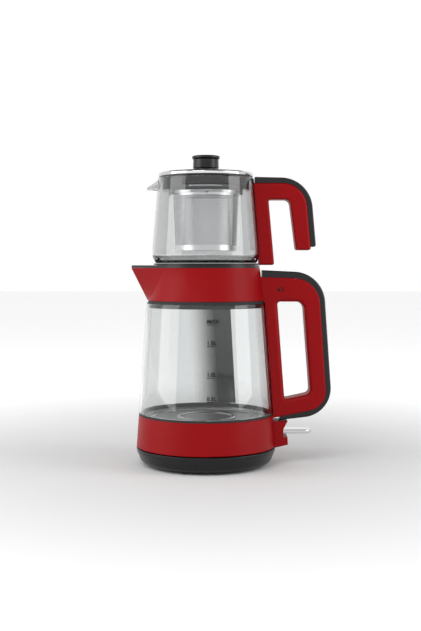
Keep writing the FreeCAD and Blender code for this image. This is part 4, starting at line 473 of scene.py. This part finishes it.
class TEAMAKER_OT_level_marks(bpy.types.Operator):
    """Print the level marks on the front of the kettle's glass"""

    bl_idname = "teamaker.level_marks"
    bl_label = "Level marks"

    def execute(self, context):
        settings = context.scene.tea_maker_marks
        radius_at = cone_of("kettle_glass")

        def build(bm):
            for words, line in LEVELS:
                add_text(bm, words, settings.text_height, settings.left,
                         line + settings.line_width * 2.2)
                add_box(bm, (settings.left, -0.00001, line),
                        (settings.left + settings.length, 0, line + settings.line_width))
            wrap_front(bm, radius_at, PRINT_LIFT)

        new_piece("level_marks", build, "dark_print_and_hole_shade", "kettle")
        return {"FINISHED"}


class TEAMAKER_OT_basket(bpy.types.Operator):
    """Make the strainer basket's fine diagonal mesh"""

    bl_idname = "teamaker.basket"
    bl_label = "Basket mesh"

    def execute(self, context):
        settings = context.scene.tea_maker_mesh
        low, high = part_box("strainer_basket")
        radius_at = cone_of("strainer_basket")
        solid_low, solid_high = low.z + PLAIN_FOOT, high.z - PLAIN_TOP
        middle = (radius_at(solid_low) + radius_at(solid_high)) / 2
        pitch = 2 * math.pi * middle / settings.columns
        rows = round((solid_high - solid_low) / (pitch / 2))
        step = (solid_high - solid_low) / rows

        def build(bm):
            def point(column, row):
                z = solid_low + row * step
                radius = radius_at(z)
                angle = 2 * math.pi * (column + (0.5 if row % 2 else 0.0)) / settings.columns
                return bm.verts.new((radius * math.cos(angle), radius * math.sin(angle), z))

            grid = [[point(column, row) for column in range(settings.columns)]
                    for row in range(rows + 1)]
            cells = []
            for row in range(1, rows):
                for column in range(settings.columns):
                    shift = 0 if row % 2 else -1
                    left = grid[row][(column + shift) % settings.columns]
                    right = grid[row][(column + shift + 1) % settings.columns]
                    below = grid[row - 1][(column + 1) % settings.columns if row % 2
                                          else column]
                    above = grid[row + 1][(column + 1) % settings.columns if row % 2
                                          else column]
                    cells.append(bm.faces.new((left, below, right, above)))
            bm.normal_update()
            bmesh.ops.inset_individual(bm, faces=cells, thickness=settings.bar / 2)
            bmesh.ops.delete(bm, geom=cells, context="FACES")
            bmesh.ops.recalc_face_normals(bm, faces=bm.faces)
            bmesh.ops.solidify(bm, geom=bm.faces, thickness=settings.thickness)
            for z0, z1 in ((low.z, solid_low), (solid_high, high.z)):
                add_ring(bm, [(radius_at(z0), z0), (radius_at(z1), z1),
                              (radius_at(z1) - settings.thickness, z1),
                              (radius_at(z0) - settings.thickness, z0)])

        piece = new_piece("basket_mesh", build, "satin_steel", "strainer")
        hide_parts("strainer_basket")
        return {"FINISHED"}


def add_ring(bm, profile, steps=96):
    """Turn a closed outline of (radius, height) about the Z axis."""
    corners = [bm.verts.new((radius, 0, z)) for radius, z in profile]
    edges = [bm.edges.new((corners[i - 1], corners[i])) for i in range(len(corners))]
    bmesh.ops.spin(bm, geom=corners + edges, cent=(0, 0, 0), axis=(0, 0, 1),
                   angle=2 * math.pi, steps=steps, use_merge=True)


class TEAMAKER_OT_small_marks(bpy.types.Operator):
    """Print the water and steam signs on the handle and lay a dark disc of painted shade
    where the rim's front hole is
    """

    bl_idname = "teamaker.small_marks"
    bl_label = "Small marks"

    def execute(self, context):
        settings = context.scene.tea_maker_signs
        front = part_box("kettle_handle")[0].y - PRINT_LIFT

        def signs(bm):
            size = settings.sign_height
            drop = bmesh.ops.create_circle(bm, cap_ends=True, segments=16,
                                           radius=size * 0.3)["verts"]
            tip = max(drop, key=lambda vertex: vertex.co.y)
            tip.co.y = size * 0.7
            bmesh.ops.rotate(bm, matrix=Matrix.Rotation(math.pi / 2, 3, "X"), verts=drop)
            bmesh.ops.translate(bm, vec=(settings.sign_left, front,
                                         settings.sign_foot + size * 0.3), verts=drop)
            for column in range(3):
                for part, lean in enumerate((0.4, -0.4, 0.4)):
                    middle = Vector((
                        settings.sign_left + size * (0.62 + 0.24 * column), front,
                        settings.sign_foot + size * (0.17 + 0.33 * part)))
                    bar = bmesh.ops.create_grid(bm, x_segments=1, y_segments=1,
                                                size=0.5)["verts"]
                    bmesh.ops.scale(bm, vec=(size * 0.1, size * 0.38, 1), verts=bar)
                    bmesh.ops.rotate(bm, matrix=Matrix.Rotation(lean, 3, "Z"), verts=bar)
                    bmesh.ops.rotate(bm, matrix=Matrix.Rotation(math.pi / 2, 3, "X"),
                                     verts=bar)
                    bmesh.ops.translate(bm, vec=middle, verts=bar)

        new_piece("handle_signs", signs, "dark_print_and_hole_shade", "kettle")
        reach = -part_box("strainer_rim")[0].y + HOLE_LIFT

        # a flat dark disc of painted shade where the rim's front hole is; no hole is cut
        def hole(bm):
            disc = bmesh.ops.create_circle(bm, cap_ends=True, segments=24,
                                           radius=settings.hole_radius)["verts"]
            bmesh.ops.rotate(bm, matrix=Matrix.Rotation(math.pi / 2, 3, "X"), verts=disc)
            bmesh.ops.translate(bm, vec=(HOLE_SIDE, -reach, settings.hole_height),
                                verts=disc)

        new_piece("rim_hole", hole, "dark_print_and_hole_shade", "strainer")
        return {"FINISHED"}


# Studio

# Name, place, width, height and power of each lamp
LAMPS = [
    ("left_light", (-1.3, -0.45, 0.65), 1.1, 1.25, 10.0),
    ("right_light", (1.3, -0.45, 0.65), 0.8, 1.25, 8.0),
    ("front_light", (-0.4, -1.3, 1.5), 1.0, 0.7, 9.0),
]


def area_light(name, place, target, width, height, power):
    data = bpy.data.lights.new(name, "AREA")
    data.shape = "RECTANGLE"
    data.size = width
    data.size_y = height
    data.energy = power
    lamp = bpy.data.objects.new(name, data)
    bpy.context.scene.collection.objects.link(lamp)
    lamp.location = place
    lamp.rotation_euler = (Vector(target) - Vector(place)).to_track_quat("-Z", "Y").to_euler()


def overhead_card(name, height, half_width):
    """A level dark card above the object that only gloss and metal show."""
    mesh = bpy.data.meshes.new(name)
    bm = bmesh.new()
    bmesh.ops.create_grid(bm, x_segments=1, y_segments=1, size=half_width)
    bmesh.ops.translate(bm, vec=(0, 0, height), verts=bm.verts)
    bm.to_mesh(mesh)
    bm.free()
    finish = Finish(name)
    mesh.materials.append(finish.surface(Base_Color=(0.05, 0.05, 0.05, 1.0),
                                         Specular_IOR_Level=0.0, Roughness=1.0))
    card = bpy.data.objects.new(name, mesh)
    bpy.context.scene.collection.objects.link(card)
    card.visible_camera = card.visible_shadow = False
    card.visible_diffuse = card.visible_transmission = False


def dark_card(name, depth, low, high, lean, fade):
    """An upright dark card that only glass shows: faded in from its left end.

    It stands behind the kettle and gives the dark band of the photo's front view. It isn't
    part of the glass, and shows as a dark patch when the kettle is seen from elsewhere.
    """
    mesh = bpy.data.meshes.new(name)
    (left, foot), (right, top) = low, high
    corners = [(left + lean, depth, foot), (right + lean, depth, foot), (right, depth, top),
               (left, depth, top)]
    mesh.from_pydata(corners, [], [(0, 1, 2, 3)])
    finish = Finish(name)
    place = finish.node("ShaderNodeSeparateXYZ", {"Vector": finish.place()}, output="X")
    across = place + lean * (finish.height() - top) / (top - foot)
    mesh.materials.append(finish.surface(
        Base_Color=(0.01, 0.01, 0.01, 1.0), Specular_IOR_Level=0.0, Roughness=1.0,
        Alpha=across.smooth_between(left, left + fade)))
    card = bpy.data.objects.new(name, mesh)
    bpy.context.scene.collection.objects.link(card)
    card.visible_camera = card.visible_shadow = False
    card.visible_diffuse = card.visible_glossy = False


class TEAMAKER_OT_studio(bpy.types.Operator):
    """Set the pale floor, soft lights, dark cards, white surroundings and the camera"""

    bl_idname = "teamaker.studio"
    bl_label = "Studio"

    def execute(self, context):
        scene = context.scene
        settings = scene.tea_maker_studio
        self.make_floor()
        self.make_world(scene, settings)
        middle = (0.0, 0.0, 0.17)
        for name, place, width, height, power in LAMPS:
            area_light(name, place, middle, width, height, power)
        overhead_card("overhead_card", height=1.1, half_width=0.75)
        dark_card("kettle_card", depth=0.16, low=(-0.030, 0.045), high=(0.032, 0.186),
                  lean=0.008, fade=0.042)
        data = bpy.data.cameras.new("camera")
        data.lens = settings.lens
        data.sensor_width = 36.0
        data.clip_start, data.clip_end = 0.05, 50.0
        camera = bpy.data.objects.new("camera", data)
        scene.collection.objects.link(camera)
        camera.location = (settings.camera_side, -settings.camera_distance,
                           settings.camera_height)
        camera.rotation_euler = (math.pi / 2 - settings.tilt, 0, 0)
        scene.camera = camera
        scene.view_settings.view_transform = "Standard"
        scene.view_settings.look = "None"
        return {"FINISHED"}

    def make_floor(self):
        mesh = bpy.data.meshes.new("floor")
        bm = bmesh.new()
        bmesh.ops.create_grid(bm, x_segments=1, y_segments=1, size=8.0)
        bm.to_mesh(mesh)
        bm.free()
        finish = Finish("floor")
        cloud = finish.noise(3.0)
        away = finish.node("ShaderNodeVectorMath", {0: finish.place()}, output="Value",
                           operation="LENGTH")
        seen = finish.node("ShaderNodeLightPath", output="Is Camera Ray")
        for ray in ("Is Glossy Ray", "Is Transmission Ray"):
            seen = seen + finish.node("ShaderNodeLightPath", output=ray)
        mesh.materials.append(finish.surface(
            Base_Color=(0.86, 0.86, 0.86, 1.0), Roughness=0.7 + 0.1 * cloud,
            Specular_IOR_Level=0.1, Emission_Color=(1.0, 1.0, 1.0, 1.0),
            Emission_Strength=0.5 * seen * away.smooth_between(0.1, 0.9)))
        floor = bpy.data.objects.new("floor", mesh)
        bpy.context.scene.collection.objects.link(floor)

    def make_world(self, scene, settings):
        world = bpy.data.worlds.new("surroundings")
        world.use_nodes = True
        scene.world = world
        tree = world.node_tree
        background = tree.nodes["Background"]
        rays = tree.nodes.new("ShaderNodeLightPath")
        strength = settings.ambient
        for ray in ("Is Glossy Ray", "Is Transmission Ray", "Is Camera Ray"):
            mix = tree.nodes.new("ShaderNodeMix")
            tree.links.new(rays.outputs[ray], mix.inputs[0])
            if isinstance(strength, float):
                mix.inputs[2].default_value = strength
            else:
                tree.links.new(strength, mix.inputs[2])
            mix.inputs[3].default_value = 1.0
            strength = mix.outputs[0]
        tree.links.new(strength, background.inputs["Strength"])
        background.inputs["Color"].default_value = (1.0, 1.0, 1.0, 1.0)


class TEAMAKER_PT_panel(bpy.types.Panel):
    bl_label = "Tea Maker"
    bl_idname = "TEAMAKER_PT_panel"
    bl_space_type = "VIEW_3D"
    bl_region_type = "UI"
    bl_category = "Tea Maker"

    def draw(self, context):
        layout = self.layout
        for operator in OPERATORS:
            layout.operator(operator.bl_idname)
        for group in SETTINGS:
            settings = getattr(context.scene, group)
            for name in settings.bl_rna.properties.keys():
                if name not in ("rna_type", "name"):
                    layout.prop(settings, name)


OPERATORS = (TEAMAKER_OT_finishes, TEAMAKER_OT_basket, TEAMAKER_OT_level_marks,
             TEAMAKER_OT_small_marks, TEAMAKER_OT_studio)
SETTINGS = {
    "tea_maker_finish": TeaMakerFinishSettings,
    "tea_maker_marks": TeaMakerMarkSettings,
    "tea_maker_signs": TeaMakerSignSettings,
    "tea_maker_mesh": TeaMakerMeshSettings,
    "tea_maker_studio": TeaMakerStudioSettings,
}


def register():
    for cls in (*SETTINGS.values(), *OPERATORS, TEAMAKER_PT_panel):
        bpy.utils.register_class(cls)
    for name, cls in SETTINGS.items():
        setattr(bpy.types.Scene, name, bpy.props.PointerProperty(type=cls))


def unregister():
    for name in SETTINGS:
        delattr(bpy.types.Scene, name)
    for cls in reversed((*SETTINGS.values(), *OPERATORS, TEAMAKER_PT_panel)):
        bpy.utils.unregister_class(cls)


def main():
    for name in ("Cube", "Light", "Camera"):
        if name in bpy.data.objects:
            bpy.data.objects.remove(bpy.data.objects[name])
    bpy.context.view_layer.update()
    register()
    bpy.ops.teamaker.finishes()
    bpy.ops.teamaker.basket()
    bpy.ops.teamaker.level_marks()
    bpy.ops.teamaker.small_marks()
    bpy.ops.teamaker.studio()


if __name__ == "__main__":
    main()
